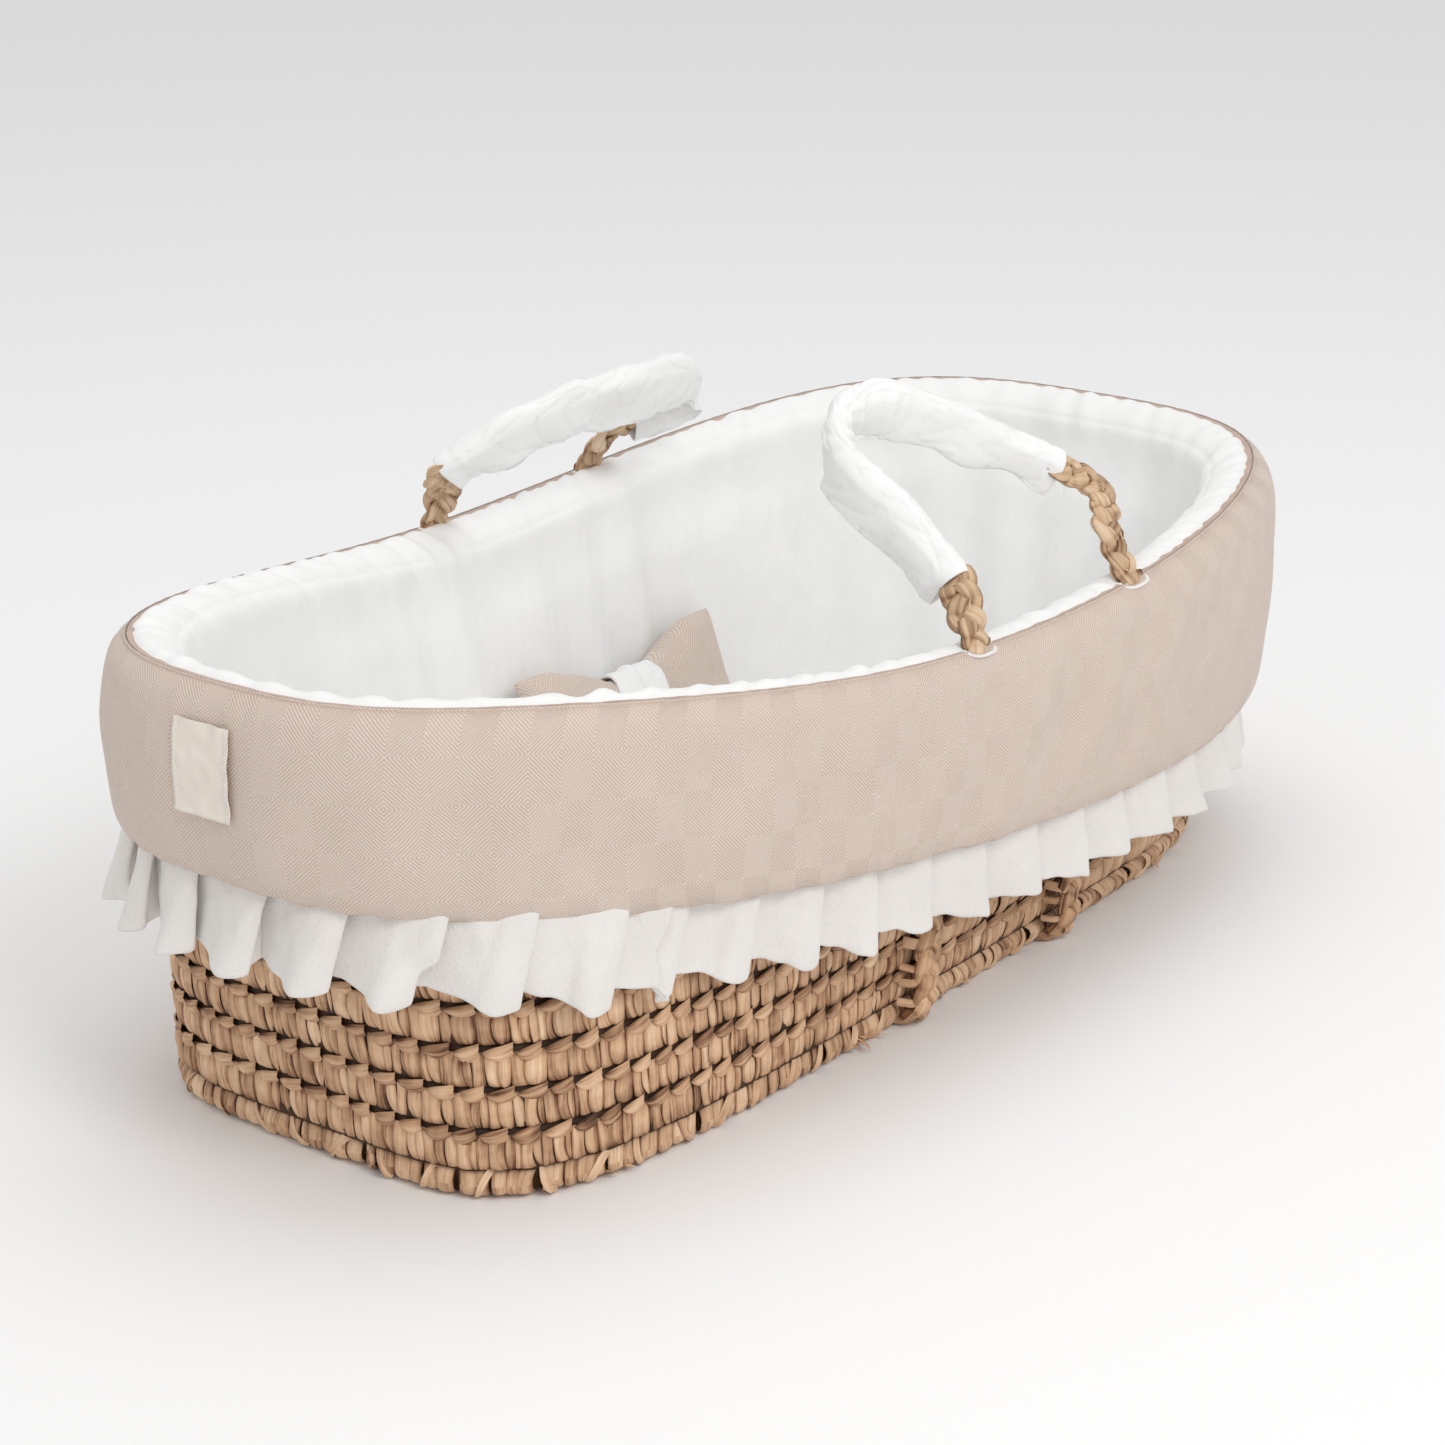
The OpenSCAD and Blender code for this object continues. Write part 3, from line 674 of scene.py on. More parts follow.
def strap_path(x):
    """A strap's middle line, from the near rim down, under the base and up the far side."""
    top = float(crest(np.array([x / RIM_A]))[0])
    zt = top - RIM_ROLL
    y_top = wall_at(x, zt, 0.0075)
    side = [(y_top, top + 0.002), (y_top, top - 0.012), (y_top, zt)]
    side += [(wall_at(x, f * zt, off * MM), f * zt) for f, off in STRAP_OFF]
    side += [(BASE_B + 0.0120, 0.0110), (BASE_B + 0.0060, 0.0060), (BASE_B - 0.007, 0.0044)]
    half = [(x, -y, z) for y, z in side] + [(x, -0.08, UNDER_Z)]
    return np.array(half + [(x, 0, UNDER_Z)] + [(x, -y, z) for _, y, z in half[::-1]])


for node, x, seed in (("strap_foot", STRAP_X[0], 41), ("strap_head", STRAP_X[1], 42)):
    path = spline(strap_path(x), 10)
    out = Patches()
    p, _ = even(path, PLAIT_STEP)
    t = unit(np.gradient(p, axis=0))
    outward = np.cross(t, np.array([1.0, 0, 0]))
    plait(out, path, outward, 6.2 * MM, 2.2 * MM, 5.4 * MM, 2.9 * MM, 0.046, seed)
    braid = out.build(node + "_braid", "basket", STRAP_LEAF)
    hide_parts(node)


# The lashings' heights on the wall and slopes
LASHINGS = ((0.034, 0.35), (0.037, -0.5), (0.058, 0.3), (0.056, -0.3), (0.020, 0.2))


def ties():
    """Leaf lashings over the straps near the foot of the wall."""
    rng = np.random.default_rng(47)
    out = Patches()
    for x in STRAP_X:
        for side in (-1, 1):
            for z, slope in LASHINGS:
                f = np.linspace(-1, 1, 15)
                over = 0.0128 + 0.05 * max(0.0, 0.05 - z)
                bow = 0.0030 + over * np.sqrt(1 - np.abs(f) ** 2.6)
                xs = x + f * 0.0130
                zs = z + slope * f * 0.009
                y = np.array([wall_at(a, b, c) for a, b, c in zip(xs, zs, bow)])
                path = np.stack([xs, side * y, zs], -1)
                strip(out, path, rng.uniform(2.0, 3.0) * MM, rng, (0.0, side, 0.05), 0.60)
    return out


tie_piece = ties().build("strap_lashings", "basket", WALL_LEAF)
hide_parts("strap_ties")

# ---- rope handles ----
# In the handles' own planes, in mm, as in the CAD: along the basket from the foot-side strap,
# and up the plane
LEAN = math.radians(45)
ROUTES = {"near": [(5, 36), (-3, 78), (-13, 124), (12, 151), (56, 147), (108, 112), (154, 76), (181, 48)],
          "far": [(-18, 40), (0, 66), (46, 90), (101, 92), (152, 92), (190, 84), (210, 62), (198, 40),
                  (176, 30)]}
SLEEVE_AT = {"near": 22, "far": 42}
SLEEVE_LEN = 305
# How far a sleeve's folded edge hangs below the rope, in mm: at its two ends, and more between
HANG = {"near": (23, 16, 4), "far": (15, 14, 12)}
ROPE_START = 10.5
BEND_HALF = 0.009        # the stretch of rope each way from the hinge line that would bend; nothing here bends it
SIDE = {"near": -1, "far": 1}
STRAP_Y = [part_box(n)[1].y - 0.0045 for n in ("strap_foot", "strap_head")]
HINGE_Y = sum(STRAP_Y) / 2
HINGE_Z = sum(float(crest(np.array([x / RIM_A]))[0]) for x in STRAP_X) / 2 + 0.011


def to_plane(points, side):
    """Points of a handle's plane, in mm, as positions in the row frame."""
    p = np.asarray(points, float) * MM
    return np.stack([STRAP_X[0] + p[:, 0],
                     side * (HINGE_Y - p[:, 1] * math.sin(LEAN)),
                     HINGE_Z + p[:, 1] * math.cos(LEAN)], -1)


def handle_route(which):
    gap_mm = (STRAP_X[1] - STRAP_X[0]) / MM
    return [(0, ROPE_START), (0, ROPE_START + 9), *ROUTES[which],
            (gap_mm, ROPE_START + 9), (gap_mm, ROPE_START)]


def stub(end, side):
    top = float(crest(np.array([STRAP_X[end] / RIM_A]))[0])
    return [(STRAP_X[end], side * STRAP_Y[end], top - 0.016),
            (STRAP_X[end], side * STRAP_Y[end], top - 0.002)]


def sleeve_line(which):
    """Middle of a sleeve in the row frame, and the distance along it."""
    route = spline(handle_route(which), 24)
    s = lengths(route)
    at = np.linspace(SLEEVE_AT[which], SLEEVE_AT[which] + SLEEVE_LEN, 181)
    mid = np.stack([np.interp(at, s, route[:, k]) for k in range(2)], -1)
    return to_plane(mid, SIDE[which]), (at - at[0]) * MM


def handle_rope(which, seed):
    side = SIDE[which]
    loop = to_plane(handle_route(which)[1:-1], side)
    path = spline(np.concatenate([stub(0, side), loop, stub(1, side)[::-1]]), 14)
    p, s = even(path, PLAIT_STEP)
    flat = np.array([0, math.cos(LEAN), side * math.sin(LEAN)])
    far = np.clip((np.minimum(s, s[-1] - s) - 0.010) / 0.03, 0, 1)[:, None]
    normal = unit(np.array([0, 1.0, 0]) * (1 - far) + flat * far)
    # near its foot-side end the rope turns its flat face out towards the foot
    twist = np.clip((s - 0.024) / 0.014, 0, 1) * np.clip((0.085 - s) / 0.030, 0, 1)
    normal = unit(normal * (1 - twist[:, None]) + np.array([0.75, 0.62, 0.1]) * twist[:, None])
    out = Patches()
    line, _ = sleeve_line(which)
    ends = [s[np.argmin(np.linalg.norm(p - line[i], axis=1))] for i in (0, -1)]
    inside = np.clip((s - ends[0]) / 0.012, 0, 1) * np.clip((ends[1] - s) / 0.012, 0, 1)
    plait(out, path, normal, 6.5 * MM, 2.3 * MM, 5.6 * MM, 3.2 * MM, 0.040, seed, 1 - 0.50 * inside)
    rng = np.random.default_rng(seed + 5)
    t = unit(np.gradient(p, axis=0))
    wide = np.cross(t, normal)
    # loose fibres and leaf ends that stick out of the plait
    for _ in range(60):
        i = int(rng.integers(12, len(p) - 14))
        if inside[i] > 0:
            continue
        way = unit(t[i] * rng.choice([-1, 1]) + wide[i] * rng.normal(0, 0.5)
                   + normal[i] * rng.normal(0, 0.5))
        root = p[i] + (wide[i] * rng.uniform(-1, 1) * 9 + normal[i] * rng.choice([-1, 1]) * 4.5) * MM
        f = np.linspace(0, 1, 5)[:, None]
        bend = np.cross(way, normal[i])
        strip(out, root + way * f * rng.uniform(4, 10) * MM + bend * f**2 * rng.normal(0, 2) * MM,
              rng.uniform(0.5, 1.2) * MM, rng, normal[i], 0.68, np.linspace(1, 0.15, 5))
    piece = out.build(f"handle_{which}_rope", None, ROPE_LEAF)
    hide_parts(f"handle_rope_{which}")
    way = np.array([0, -side * math.sin(LEAN), math.cos(LEAN)]) * BEND_HALF
    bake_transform(piece)


def normals(g, ring_n=False, ring_m=False):
    """Unit normals of a grid of points, by central differences."""
    def diff(axis, ring):
        if ring:
            return np.roll(g, -1, axis) - np.roll(g, 1, axis)
        return np.gradient(g, axis=axis)
    return unit(np.cross(diff(0, ring_n), diff(1, ring_m)))


def sleeve(which, seed):
    """A folded strip of cloth round the rope: round on top, hanging to a flat edge below."""
    p, q = sleeve_line(which)
    total = q[-1]
    t = unit(np.gradient(p, axis=0))
    up = unit(np.array([0, 0, 1.0]) - t * t[:, 2:])
    across = np.cross(t, up)
    turn = np.gradient(t, axis=0)
    bend = np.linalg.norm(turn, axis=1)
    bend = np.convolve(np.pad(bend, 8, "edge"), np.ones(17) / 17, "valid")
    bend = np.clip(bend / bend.max(), 0, 1)
    m = 60
    a = np.arange(m) / m * TAU
    ang, qq = a[None, :], q[:, None]
    f = q / total
    high = (11.0 + 0.7 * waves(q, total, seed, 2, 6)) * MM
    one, two, more = HANG[which]
    low = (one + (two - one) * f + more * np.sin(np.pi * f) + 1.4 * waves(q, total, seed + 5, 2, 7)) * MM
    fat = (9.3 - 0.8 * np.sin(np.pi * f) + 0.5 * waves(q, total, seed + 1, 2, 9)) * MM
    c = np.cos(ang)
    yy = np.where(c > 0, high[:, None] * c, low[:, None] * c)
    xx = fat[:, None] * np.sin(ang) * (1 - 0.55 * np.clip(-c, 0, 1))
    g = p[:, None] + up[:, None] * yy[..., None] + across[:, None] * xx[..., None]
    n = normals(g, False, True)
    if np.mean(np.sum((g - p[:, None]) * n, -1)) < 0:
        n = -n
    way = up[:, None] * np.cos(ang)[..., None] + across[:, None] * np.sin(ang)[..., None]
    inner = np.clip(np.sum(way * unit(turn + 1e-9)[:, None], -1), 0, 1)
    soft = 1.0 * rough(ang * 15 * MM + 0 * qq, qq * 0.35 + 0 * ang, seed + 2, 0.030)
    crease = rough(ang * 15 * MM + 0.12 * qq, qq * 0.32 + 0 * ang, seed + 3, 0.016)
    crease = -0.9 * np.exp(-(crease / 0.26) ** 2)
    bunch = np.cos(TAU * qq / 0.0145 + 1.6 * np.sin(ang + 0.5) + 1.5 * rough(qq, 0 * ang, seed + 4, 0.05))
    end = np.minimum(qq, total - qq)
    r = soft + crease + 1.9 * bend[:, None] * (0.25 + inner) * bunch
    r = r * (1 - 0.8 * np.exp(-(end / 0.006) ** 2)) - 0.5 * np.exp(-((end - 0.009) / 0.0012) ** 2)
    g = g + n * (r * MM)[..., None]

    def mouth(i, back, k):
        """The end ring drawn in to share k of its size and moved back along the rope."""
        return p[i] + (g[i] - p[i]) * k + t[i] * back

    turned_in = ((0.014, 0.62), (0.004, 0.80), (0.0002, 0.90), (-0.0006, 0.96))
    rings = np.array([*[mouth(0, back, k) for back, k in turned_in], *g,
                      *[mouth(-1, -back, k) for back, k in turned_in[::-1]]])
    piece = make(f"handle_{which}_sleeve", rings, quads(len(rings), m, False, True),
                 f"handle_{which}", WHITE)
    piece.data.flip_normals()
    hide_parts(f"handle_sleeve_{which}")


for which, seed in (("near", 51), ("far", 61)):
    handle_rope(which, seed)
    sleeve(which, seed + 3)


# ---- cover ----
def cover_outer(u):
    zc, zh = crest(u), hem(u)
    h = zc - zh
    return [(-4, zc), (5, zc - 4 * MM), (11, zc - 14 * MM), (14, zc - 34 * MM),
            (14.5, zc - 0.45 * h), (13, zc - 0.7 * h), (10, zc - 0.88 * h), (4, zc - 0.97 * h),
            (-6, zh)]


def loft(th, controls, steps, ring=False):
    """Points between a ring of profile controls, each (d in mm, z array, off from the wall)."""
    p = np.array([[d * MM + 0 * th, z + 0 * th, off * MM + 0 * th] for d, z, off in controls])
    p = np.concatenate([p[-1:], p, p[:2]]) if ring else np.concatenate([p[:1], p, p[-1:]])
    f = (np.arange(steps) / steps)[:, None, None]
    spans = [curve4(*four, f) for four in zip(p[:-3], p[1:-2], p[2:-1], p[3:])]
    rows = np.concatenate(spans if ring else [*spans, p[-1:]])
    return [rows[:, i].T for i in range(3)]


RING_N = 640
RING_S = np.append(np.arange(RING_N - 1) / (RING_N - 1), 1 - 0.0003) * RIM_L
RING = rim_angle(RING_S)
RING_U = along(RING)


def down(g):
    """Distance along each profile of a grid."""
    step = np.linalg.norm(np.diff(g, axis=1), axis=-1)
    return np.concatenate([np.zeros((len(g), 1)), np.cumsum(step, 1)], 1)


def cover():
    th, u = RING, RING_U
    zc, zh, zt = crest(u), hem(u), wall_top(u)
    face = [(d, z, 10) for d, z in cover_outer(u)]
    back = [(-12, zh + 1.6 * MM, 8), (-20, zh + 6 * MM, 8), (-14, zh + 0.45 * (zc - zh), 13),
            (-10, zt, 12.5), (-9, zc - 9 * MM, 12.5), (-7, zc - 3 * MM, 0)]
    steps = 7
    d, z, off = loft(th, face + back, steps, True)
    front = (len(face) - 1) * steps + 1
    g = clear3(th[:, None], d, z, off)
    n = normals(g, True, True)
    v, s = down(g), RING_S[:, None]
    bottom = v[:, front - 1:front]
    arch = np.sin(np.pi * np.clip(v / bottom, 0, 1))
    seam = bell(v, 0, 0.010)
    pucker = waves(s, RIM_L, 71, 120, 210) * bell(v, 0.012, 0.012) * 0.18
    pull = waves(s + 0.35 * v, RIM_L, 72, 12, 34) * arch * 0.8
    dent = rough(s, v, 73, 0.09) * arch * 0.9
    fold = -bell(v, bottom - 0.013, 0.0022) * 0.9
    hemrun = bell(v, bottom - 0.007, 0.007) * (0.5 * waves(s, RIM_L, 74, 60, 120))
    amount = (pucker + pull + dent + fold + hemrun - 0.3 * seam) * MM
    amount = np.where(np.arange(g.shape[1])[None, :] < front, amount, 0)
    g = g + n * amount[..., None]
    cloth = np.stack([np.broadcast_to(s, v.shape), v, 0 * v], -1)
    # painted shade: darker towards the hem, where the cover rolls under, and along the seam at its top
    # edge
    near_hem = np.clip(1 - (bottom - v) / 0.022, 0, 1)
    edge = np.clip(0.75 * near_hem**1.5 + 0.25 * bell(v, 0, 0.006), 0, 1)
    piece = make("cover_outer", g, quads(*g.shape[:2], True, True), "basket", BLUSH,
                 cloth=cloth.reshape(-1, 3), edge=np.broadcast_to(edge, v.shape).ravel())
    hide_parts("cover_band", "cover_wadding", "hem_elastic")


def liner():
    th, u = RING, RING_U
    zc, zt = crest(u), wall_top(u)
    low = 0.0155
    face = [(-2.6, zc - 3.4 * MM, 0), (-4.8, zc + 0.2 * MM, 0), (-12, zc + 0.9 * MM, 0),
            (-21.5, zc - 4 * MM, 0), (-29.7, zc - 14 * MM, 0), (-31.3, zc - 28 * MM, 0)]
    steps = 8
    d, z, _ = loft(th, face, steps)
    top = rim3(th[:, None], d, z)
    rows = np.linspace(1, 0, 34)[1:]
    zs = low + (zc[:, None] - 28 * MM - low) * rows[None, :]
    f = (zs - low) / (zt[:, None] - low)
    inner = wall(th[:, None], zs, -0.0165 - 0.005 * f**2)
    # the padded roll runs smoothly into the side
    blend = np.clip((1 - rows) / 0.16, 0, 1)[None, :, None]
    drop = top[:, -1:, :] * np.array([1, 1, 0]) + np.array([0, 0, 1]) * zs[..., None]
    inner = drop * (1 - blend) + inner * blend
    back = wall(th[:, None], zs[:, ::-4], -0.0098)
    over = rim3(th[:, None], np.array([-24.0, -28.2, -27.0, -15.0, -6.0])[None, :] * MM,
                zc[:, None] - np.array([30.0, 26.0, 15.0, 6.0, 3.0])[None, :] * MM)
    g = np.concatenate([top, inner, back[:, 1:], over], 1)
    front = top.shape[1] + inner.shape[1]
    n = normals(g, True, True)
    v, s = down(g), RING_S[:, None]
    bottom = v[:, front - 1:front]
    pucker = waves(s, RIM_L, 81, 60, 150, 26) * bell(v, 0.010, 0.009) * 0.55
    gather = waves(s + 0.2 * v, RIM_L, 82, 40, 100, 20) * bell(v, 0.024, 0.022) * 0.75
    soft = waves(s + 0.10 * v, RIM_L, 83, 18, 44) * np.clip((v - 0.02) / 0.06, 0, 1) * 1.7
    ridge = waves(s - 0.25 * v, RIM_L, 84, 40, 95, 20)
    ridge = -np.exp(-(ridge / 0.34) ** 2) * 0.6 * np.clip((v - 0.015) / 0.05, 0, 1)
    cross = -np.exp(-(rough(s, v * 1.6, 85, 0.07) / 0.16) ** 2) * 0.8 * np.clip((v - 0.05) / 0.05, 0, 1)
    seam = -bell(v, 0.0045, 0.0020) * 0.4
    stitch = -bell(v, 0.034, 0.0022) * 0.8
    amount = (pucker + gather + soft + ridge + cross + seam + stitch) * MM
    amount = amount * np.clip((bottom - v) / 0.015, 0, 1)
    amount = np.where(np.arange(g.shape[1])[None, :] < front, amount, 0)
    g = g + n * amount[..., None] * facing_in(g, n)
    piece = make("liner", g, quads(*g.shape[:2], True, True), "basket", WHITE)
    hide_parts("liner_wall")


def facing_in(g, n):
    """1 where the normals point to the middle of the basket a third of the way down, else -1."""
    i = g.shape[1] // 3
    return -math.copysign(1, np.mean(np.sum(g[:, i, :2] * n[:, i, :2], -1)))


cover()
liner()


# ---- frill ----
def frill():
    rng = np.random.default_rng(91)
    widths = []
    while sum(widths) < RIM_L - 0.03:
        widths.append(rng.uniform(0.041, 0.053))
    widths = np.array(widths) * RIM_L / sum(widths)
    starts = np.concatenate([[0], np.cumsum(widths)[:-1]])
    rows, steps = 13, 4
    vs = np.linspace(0, 1, rows)
    grid = []
    fold = rng.uniform(10.5, 14.0, len(widths)) * MM
    th_mid = rim_angle(starts + widths / 2)
    x_mid, y_mid = rim(th_mid, 0)
    foot = np.clip((-x_mid - 0.20) / 0.18, 0, 1)
    far_corner = foot * np.clip((y_mid + 0.10) / 0.15, 0, 1)
    opened = np.clip(rng.uniform(0.05, 0.28, len(widths)) + 0.55 * foot + 0.35 * far_corner, 0, 1.1)
    near = (y_mid < 0).astype(float)
    lean = (-13 * bell(x_mid, -0.32, 0.16) * near - 2 + rng.normal(0, 0.4, len(widths))) * MM
    dips = rng.uniform(2.8, 5.4, len(widths)) * MM
    puffs = rng.uniform(0.8, 1.2, len(widths))
    for v in vs:
        ctrl = []
        for s0, w, r, o, le, dip, puff in zip(starts, widths, fold, opened, lean, dips, puffs):
            loose = o * v**0.9
            rr = r * (1 - 0.8 * loose)
            out = (5.0 + v * (7.5 + 13 * o)) * puff
            back = 0.4 + 1.2 * v + 1.5 * loose
            shift = le * v
            end = s0 + w + shift
            peak = end - 2.4 * MM - 0.22 * w * loose
            mid = s0 + 0.45 * w + shift
            drop = v * dip
            under = s0 - rr + shift
            ctrl += [(under, back, -0.15 * drop), (under + 3 * MM, back + 0.3, -0.3 * drop),
                     (s0 + 0.12 * w + shift, back + 0.14 * (out - back), -0.2 * drop),
                     (mid, back + (0.46 + 0.1 * o) * (out - back), 0.2 * drop),
                     ((mid + peak) / 2, back + 0.86 * (out - back), 0.65 * drop), (peak, out, drop),
                     (end, out - 1.3 - 0.35 * out * loose, 0.8 * drop),
                     (end - 3 * MM, out - 2.8 - 0.45 * out * loose, 0.35 * drop)]
        ctrl = np.array(ctrl)
        k = len(ctrl)

        def wrap(i):
            """The controls moved on by i, with whole turns added where they pass the start."""
            moved = np.roll(ctrl, -i, 0)
            step = np.roll(np.arange(k), -i) - np.arange(k)
            turns = np.where(step < -k / 2, RIM_L, 0) - np.where(step > k / 2, RIM_L, 0)
            return (moved + turns[:, None] * np.array([1, 0, 0]))[:, None, :]

        f = (np.arange(steps) / steps)[None, :, None]
        grid.append(curve4(wrap(-1), wrap(0), wrap(1), wrap(2), f).reshape(-1, 3))
    grid = np.array(grid).transpose(1, 0, 2)
    s, d, drop = grid[..., 0], grid[..., 1] * MM, grid[..., 2]
    v = vs[None, :]
    d = d + 1.1 * MM * rough(s, v * 0.05, 92, 0.05) * v
    d = d + 0.6 * MM * rough(s, v * 0.05, 93, 0.018) * bell(v, 0.3, 0.3)
    th = rim_angle(s)
    # the frill is sewn up under the hem, further at the head
    tucked = (11 + 6 * np.clip((rim(th, 0)[0] + 0.10) / 0.40, 0, 1)) * MM
    z = hem(along(th)) + tucked + 2.1 * MM - v * 0.053 - drop
    z = z - 0.5 * MM * rough(s, 0 * v, 94, 0.02) * v
    g = clear3(th, d - 0.0085, z, 0.0105 + d)
    piece = make("frill_pleated", g, quads(g.shape[0], rows, True, False), "basket", FRILL)
    thicken(piece, 1.9 * MM)
    soften(piece)
    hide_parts("frill")


frill()


# ---- label and bound holes ----
def label():
    lo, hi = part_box("label_patch")
    width, height = 0.038, 0.050
    n, m = 25, 33
    a = np.linspace(-1, 1, n)[:, None]
    b = np.linspace(0, 1, m)[None, :]
    th = rim_angle(RIM_L / 2 + a[:, 0] * width / 2)
    u = along(th)
    d, z, _ = loft(th, [(x, y, 10) for x, y in cover_outer(u)], 8)
    zs = lo.z + (hi.z - lo.z) * b + 0 * a
    ds = np.array([np.interp(-zs[i], -z[i], d[i]) for i in range(n)])
    g = rim3(th[:, None], ds, zs)
    nrm = normals(g)
    if np.mean(nrm[..., 0]) > 0:
        nrm = -nrm
    brim = np.minimum(np.minimum(1 - np.abs(a), 2 * np.minimum(b, 1 - b)) * width / 2, 0.004) / 0.004
    lift = 1.5 + 0.6 * (1 - brim) + 0.35 * rough(a * 0.02, b * 0.05, 95, 0.016)
    lift = lift + 1.1 * bell(b, 0, 0.06) - 0.8 * bell(np.abs(a), 0.86, 0.05) + 0.5 * a**2 * b
    g = g + nrm * (lift * MM)[..., None]
    piece = make("label_blank", g, quads(n, m), "basket", LABEL)
    thicken(piece, 0.8 * MM)
    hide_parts("label_patch")
    # short thread bars down the two sewn sides
    out = Patches()
    rng = np.random.default_rng(96)
    for col in (1, n - 2):
        for k in range(11):
            i = int(round(2 + k * (m - 5) / 10))
            p = g[col, i] + nrm[col, i] * 0.55 * MM
            q = g[col, min(i + 1, m - 1)] + nrm[col, i] * 0.55 * MM
            f = np.linspace(0, 1, 4)[:, None]
            arch = nrm[col, i] * 0.25 * MM * np.sin(np.pi * f)
            strip(out, p + (q - p) * f * 1.15 + arch, 0.28 * MM, rng, nrm[col, i], 0.6)
    thread = out.build("label_stitches", "basket", THREAD)


label()


def bound_holes():
    """A corded edge round each hole in the cover that a rope comes through."""
    out = Patches()
    for x, y in zip(STRAP_X, STRAP_Y):
        for side in (-1, 1):
            n, m = 72, 12
            t = np.arange(n + 1) / n * TAU
            cx = np.sign(np.cos(t)) * np.abs(np.cos(t)) ** 0.7 * 12.2 * MM
            cy = np.sign(np.sin(t)) * np.abs(np.sin(t)) ** 0.7 * 7.4 * MM
            outward = side * cy
            top = crest((x + cx) / RIM_A) - 0.2 * MM
            top = top - np.where(outward > 0, 0.35 * outward, -0.12 * outward)
            p = np.stack([x + cx, side * y + cy, top], -1)
            tt = unit(np.gradient(p, axis=0))
            upv = np.array([0, 0, 1.0])
            out_dir = unit(np.cross(tt, upv))
            a = np.arange(m + 1) / m * TAU
            ridge = 1 + 0.13 * np.cos(TAU * np.arange(n + 1) / n * 36)[:, None]
            g = p[:, None] + out_dir[:, None] * (1.3 * MM * np.cos(a)[None, :] * ridge)[..., None] \
                + upv * (0.9 * MM * np.sin(a)[None, :] * ridge)[..., None]
            out.add(g, 0.6, np.zeros(3))
    piece = out.build("bound_holes", "basket", THREAD)
    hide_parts("buttonholes")


bound_holes()


# ---- mattress and floor of the liner ----
def pad(name, half, z0, z1, round_r, crown, seed, body, piping=True):
    """A flat pad with the base's outline: crowned top, rounded edges, piped seams."""
    n = 200
    th = np.arange(n) / n * TAU
    rings = []
    h = z1 - z0
    bottom = [(f, 0.0, 0.0) for f in (0.02, 0.25, 0.5, 0.75, 0.9)]
    side = [(1, round_r * (math.cos(x) - 1), round_r * (1 + math.sin(x)))
            for x in np.linspace(-math.pi / 2, 0, 6)]
    side += [(1, 1.6 * MM, round_r * 1.05)] if piping else []
    side += [(1, 0.8 * MM, h * 0.5)]
    side += [(1, 1.6 * MM, h - round_r * 1.05)] if piping else []
    side += [(1, round_r * (math.cos(x) - 1), h - round_r * (1 - math.sin(x)))
             for x in np.linspace(0, math.pi / 2, 6)]
    top = [(f, 0.0, h) for f in (*np.arange(0.92, 0.1, -0.08), 0.02)]
    s = lengths(np.stack(oval(BASE_A + half, BASE_B + half, 5, np.append(th, TAU)), -1))[:-1]
    for f, d, zz in bottom + side + top:
        grow = half + d - (round_r if f < 1 else 0)
        x, y = f * np.array(oval(BASE_A + grow, BASE_B + grow, 5, th))
        lift = crown * (1 - f**3) if zz >= h * 0.99 else 0.0
        soft = 0.9 * MM * rough(x, y, seed, 0.09) * (zz / h)
        soft = soft + 0.45 * MM * rough(x, 2 * y, seed + 1, 0.03) * (zz > h * 0.9)
        crimp = 0.5 * MM * waves(s, s[-1], seed + 2, 60, 110) * (0.3 < zz / h < 0.95)
        k = 1 + crimp / 0.2
        rings.append(np.stack([x * k, y * k, z0 + zz + lift + soft * (zz >= 0.2 * h)], -1))
    g = np.array(rings)
    first, last = list(range(n)), [(len(g) - 1) * n + i for i in range(n)]
    piece = make(name, g, quads(len(g), n, False, True) + [first, last[::-1]], body, WHITE)
    piece.data.flip_normals()
    return piece


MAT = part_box("mattress_cover")
mattress = pad("mattress", MAT[1].x - BASE_A, MAT[0].z, MAT[1].z - 2 * MM, 9 * MM, 1.8 * MM, 101,
               "mattress")
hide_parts("mattress_cover", "mattress_core")
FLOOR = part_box("liner_floor")
base_sheet = pad("liner_base", FLOOR[1].x - BASE_A, FLOOR[0].z, FLOOR[1].z, 1.0 * MM, 0.0, 111,
                 "basket", False)
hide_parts("liner_floor")


# ---- bow cushion ----
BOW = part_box("bow_cushion")
BOW_MID = np.array((BOW[0] + BOW[1]) / 2)
BOW_LEAN = math.radians(68)
BOW_UP = np.array([0, math.cos(BOW_LEAN), math.sin(BOW_LEAN)])
BOW_OUT = np.array([0, -math.sin(BOW_LEAN), math.cos(BOW_LEAN)])


def bow_place(x, y, z):
    return BOW_MID + np.stack([x, 0 * x, 0 * x], -1) + y[..., None] * BOW_UP + z[..., None] * BOW_OUT


BOW_A, BOW_H = 0.102, 0.092
BAND_W = 0.044


def bow_half(a):
    """Half height of the bow at share a of its half length."""
    return (0.54 + 0.46 * np.clip((np.abs(a) - 0.20) / 0.50, 0, 1) ** 0.75) * BOW_H / 2


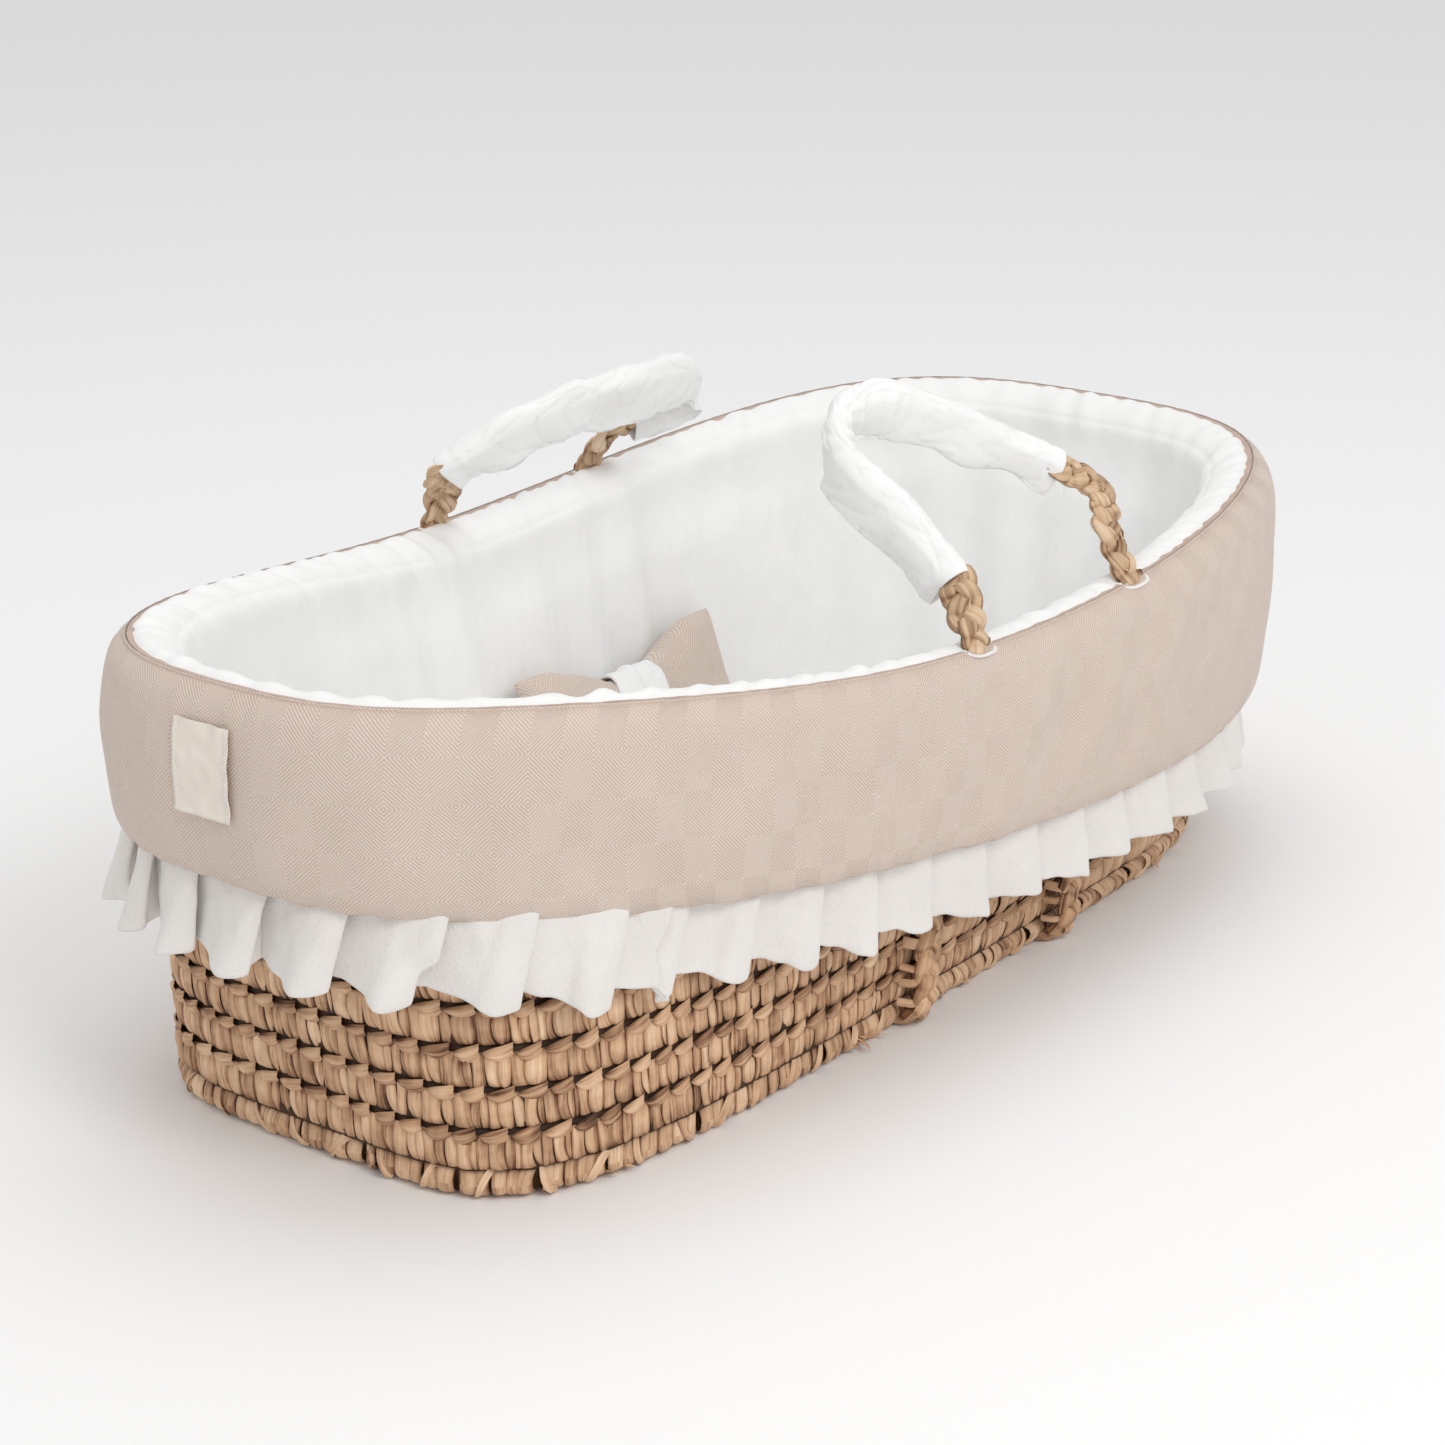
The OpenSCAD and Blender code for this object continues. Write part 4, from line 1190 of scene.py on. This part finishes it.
def puff(piece, voxel, pressure, cap, held, frames=20):
    """Blows a padded piece up as cloth; held tells which points the stitching holds."""
    scene = bpy.context.scene
    work = bpy.data.objects.new("work", piece.data.copy())
    scene.collection.objects.link(work)
    remesh = work.modifiers.new("remesh", "REMESH")
    remesh.mode, remesh.voxel_size = "VOXEL", voxel
    graph = bpy.context.evaluated_depsgraph_get()
    mesh = bpy.data.meshes.new_from_object(work.evaluated_get(graph))
    work.modifiers.clear()
    work.data = mesh
    rest = np.empty(len(mesh.vertices) * 3, np.float32)
    mesh.vertices.foreach_get("co", rest)
    rest = rest.reshape(-1, 3)
    group = work.vertex_groups.new(name="held")
    group.add(np.nonzero(held(rest))[0].tolist(), 1.0, "REPLACE")
    cloth = work.modifiers.new("cloth", "CLOTH")
    cloth.settings.quality = 6
    cloth.settings.use_pressure = True
    cloth.settings.uniform_pressure_force = pressure
    cloth.settings.effector_weights.gravity = 0
    cloth.settings.vertex_group_mass = "held"
    cloth.point_cache.frame_start, cloth.point_cache.frame_end = 1, frames
    for at in range(1, frames + 1):
        scene.frame_set(at)
    graph = bpy.context.evaluated_depsgraph_get()
    now = np.empty_like(rest).ravel()
    work.evaluated_get(graph).data.vertices.foreach_get("co", now)
    move = now.reshape(-1, 3) - rest
    far = np.linalg.norm(move, axis=1, keepdims=True)
    co = rest + move * np.minimum(1, cap / np.maximum(far, 1e-9))
    mesh.vertices.foreach_set("co", co.ravel())
    mesh.polygons.foreach_set("use_smooth", [True] * len(mesh.polygons))
    mesh.materials.clear()
    mesh.materials.append(piece.data.materials[0])
    piece.data = mesh
    bpy.data.objects.remove(work)
    scene.frame_set(1)
    return co


def bow():
    n, m = 97, 41
    a = np.linspace(-1, 1, n)[:, None]
    b = np.linspace(-1, 1, m)[None, :]
    x = a * BOW_A * (1 - 0.075 * (1 - b**2))
    y = b * bow_half(a) * (1 + 0.07 * np.abs(a) ** 8)
    body = (1 - np.abs(b) ** 3.2) ** 0.6 * (1 - np.abs(a) ** 5) ** 0.6
    t = (0.0105 + 0.0050 * np.clip((np.abs(a) - 0.16) / 0.35, 0, 1)) * body + 0.0018
    gather = np.cos(b * 13 + 2 * np.sign(a)) * np.exp(-((np.abs(a) - 0.24) / 0.14) ** 2)
    t1, t2 = t + 1.3 * gather * MM * body, t + 1.1 * gather * MM * body
    front, back = bow_place(x, y, t1), bow_place(x, y, -t2)
    idx = n * m
    v = np.concatenate([front.reshape(-1, 3), back.reshape(-1, 3)])
    f = [q[::-1] for q in quads(n, m)] + quads(n, m, start=idx)
    rim_ids = [*range(0, n * m, m), *range((n - 1) * m + 1, n * m), *range((n - 1) * m - 1, 0, -m),
               *range(m - 2, 0, -1)]
    f += [[p, q, q + idx, p + idx] for p, q in zip(rim_ids, rim_ids[1:] + rim_ids[:1])]
    piece = make("bow_cushion_soft", v, f, "bow", BLUSH)
    co = puff(piece, 3.5 * MM, 4.0, 9 * MM, lambda at: np.abs(at[:, 0] - BOW_MID[0]) < BAND_W / 2)
    soften(piece)
    local = co - BOW_MID
    mark(piece.data, "cloth", np.stack([local[:, 0] + 0.02, local @ BOW_UP, 0 * local[:, 0]], -1))
    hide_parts("bow_cushion")
    # the white band round the middle
    k, w = 72, 27
    t = np.arange(k)[:, None] / k * TAU
    q = np.linspace(-1, 1, w)[None, :]
    half_w = BAND_W / 2 * (1 - 0.13 * np.cos(t) ** 2 + 0.05 * np.sin(t + 0.5))
    xx = q * half_w + 3 * MM * np.cos(t)
    hy = 0.27 * BOW_H + 3.6 * MM
    hz = 0.0143 + 0.001 * np.abs(q)
    folds = (0.9 * np.cos(q * 6 + 2.4 * np.sin(t)) + 0.6 * np.cos(q * 11 + t * 2)) * MM
    crease = -1.8 * MM * np.exp(-((q - 0.9 * np.sin(2 * t + 0.6)) / 0.12) ** 2)
    roll = -1.4 * MM * np.abs(q) ** 8
    yy = (hy + folds + roll + crease) * np.sign(np.cos(t)) * np.abs(np.cos(t)) ** 0.8
    zz = (hz + folds + roll + crease) * np.sign(np.sin(t)) * np.abs(np.sin(t)) ** 0.8
    g = bow_place(xx, yy, zz)
    band = make("bow_band_soft", g, quads(k, w, True, False), "bow", WHITE)
    thicken(band, 1.8 * MM)
    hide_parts("bow_band")


bow()

# ---- stage ----
floor = make("floor", [(-60, -60, -0.0005), (60, -60, -0.0005), (60, 60, -0.0005), (-60, 60, -0.0005)],
             [(0, 1, 2, 3)])
stage_mat = Shade("stage", 0.9, Specular_IOR_Level=0.0)
floor.data.materials.append(stage_mat.finish((0.93, 0.93, 0.93)))

world = bpy.data.worlds.new("studio")
bpy.context.scene.world = world
world.use_nodes = True
world.node_tree.nodes["Background"].inputs[0].default_value = (1, 1, 1, 1)
world.node_tree.nodes["Background"].inputs[1].default_value = 0.72
bpy.context.scene.view_settings.view_transform = "Standard"


LIT_AT = (0, 0, 0.1)


def lamp(name, at, size, power):
    light = bpy.data.lights.new(name, "AREA")
    light.shape, light.size, light.energy = "DISK", size, power
    aimed(name, light, at, LIT_AT)


lamp("key", (-1.0, -2.3, 2.3), 1.4, 30)
lamp("top", (0.2, 0.3, 3.2), 2.6, 15)
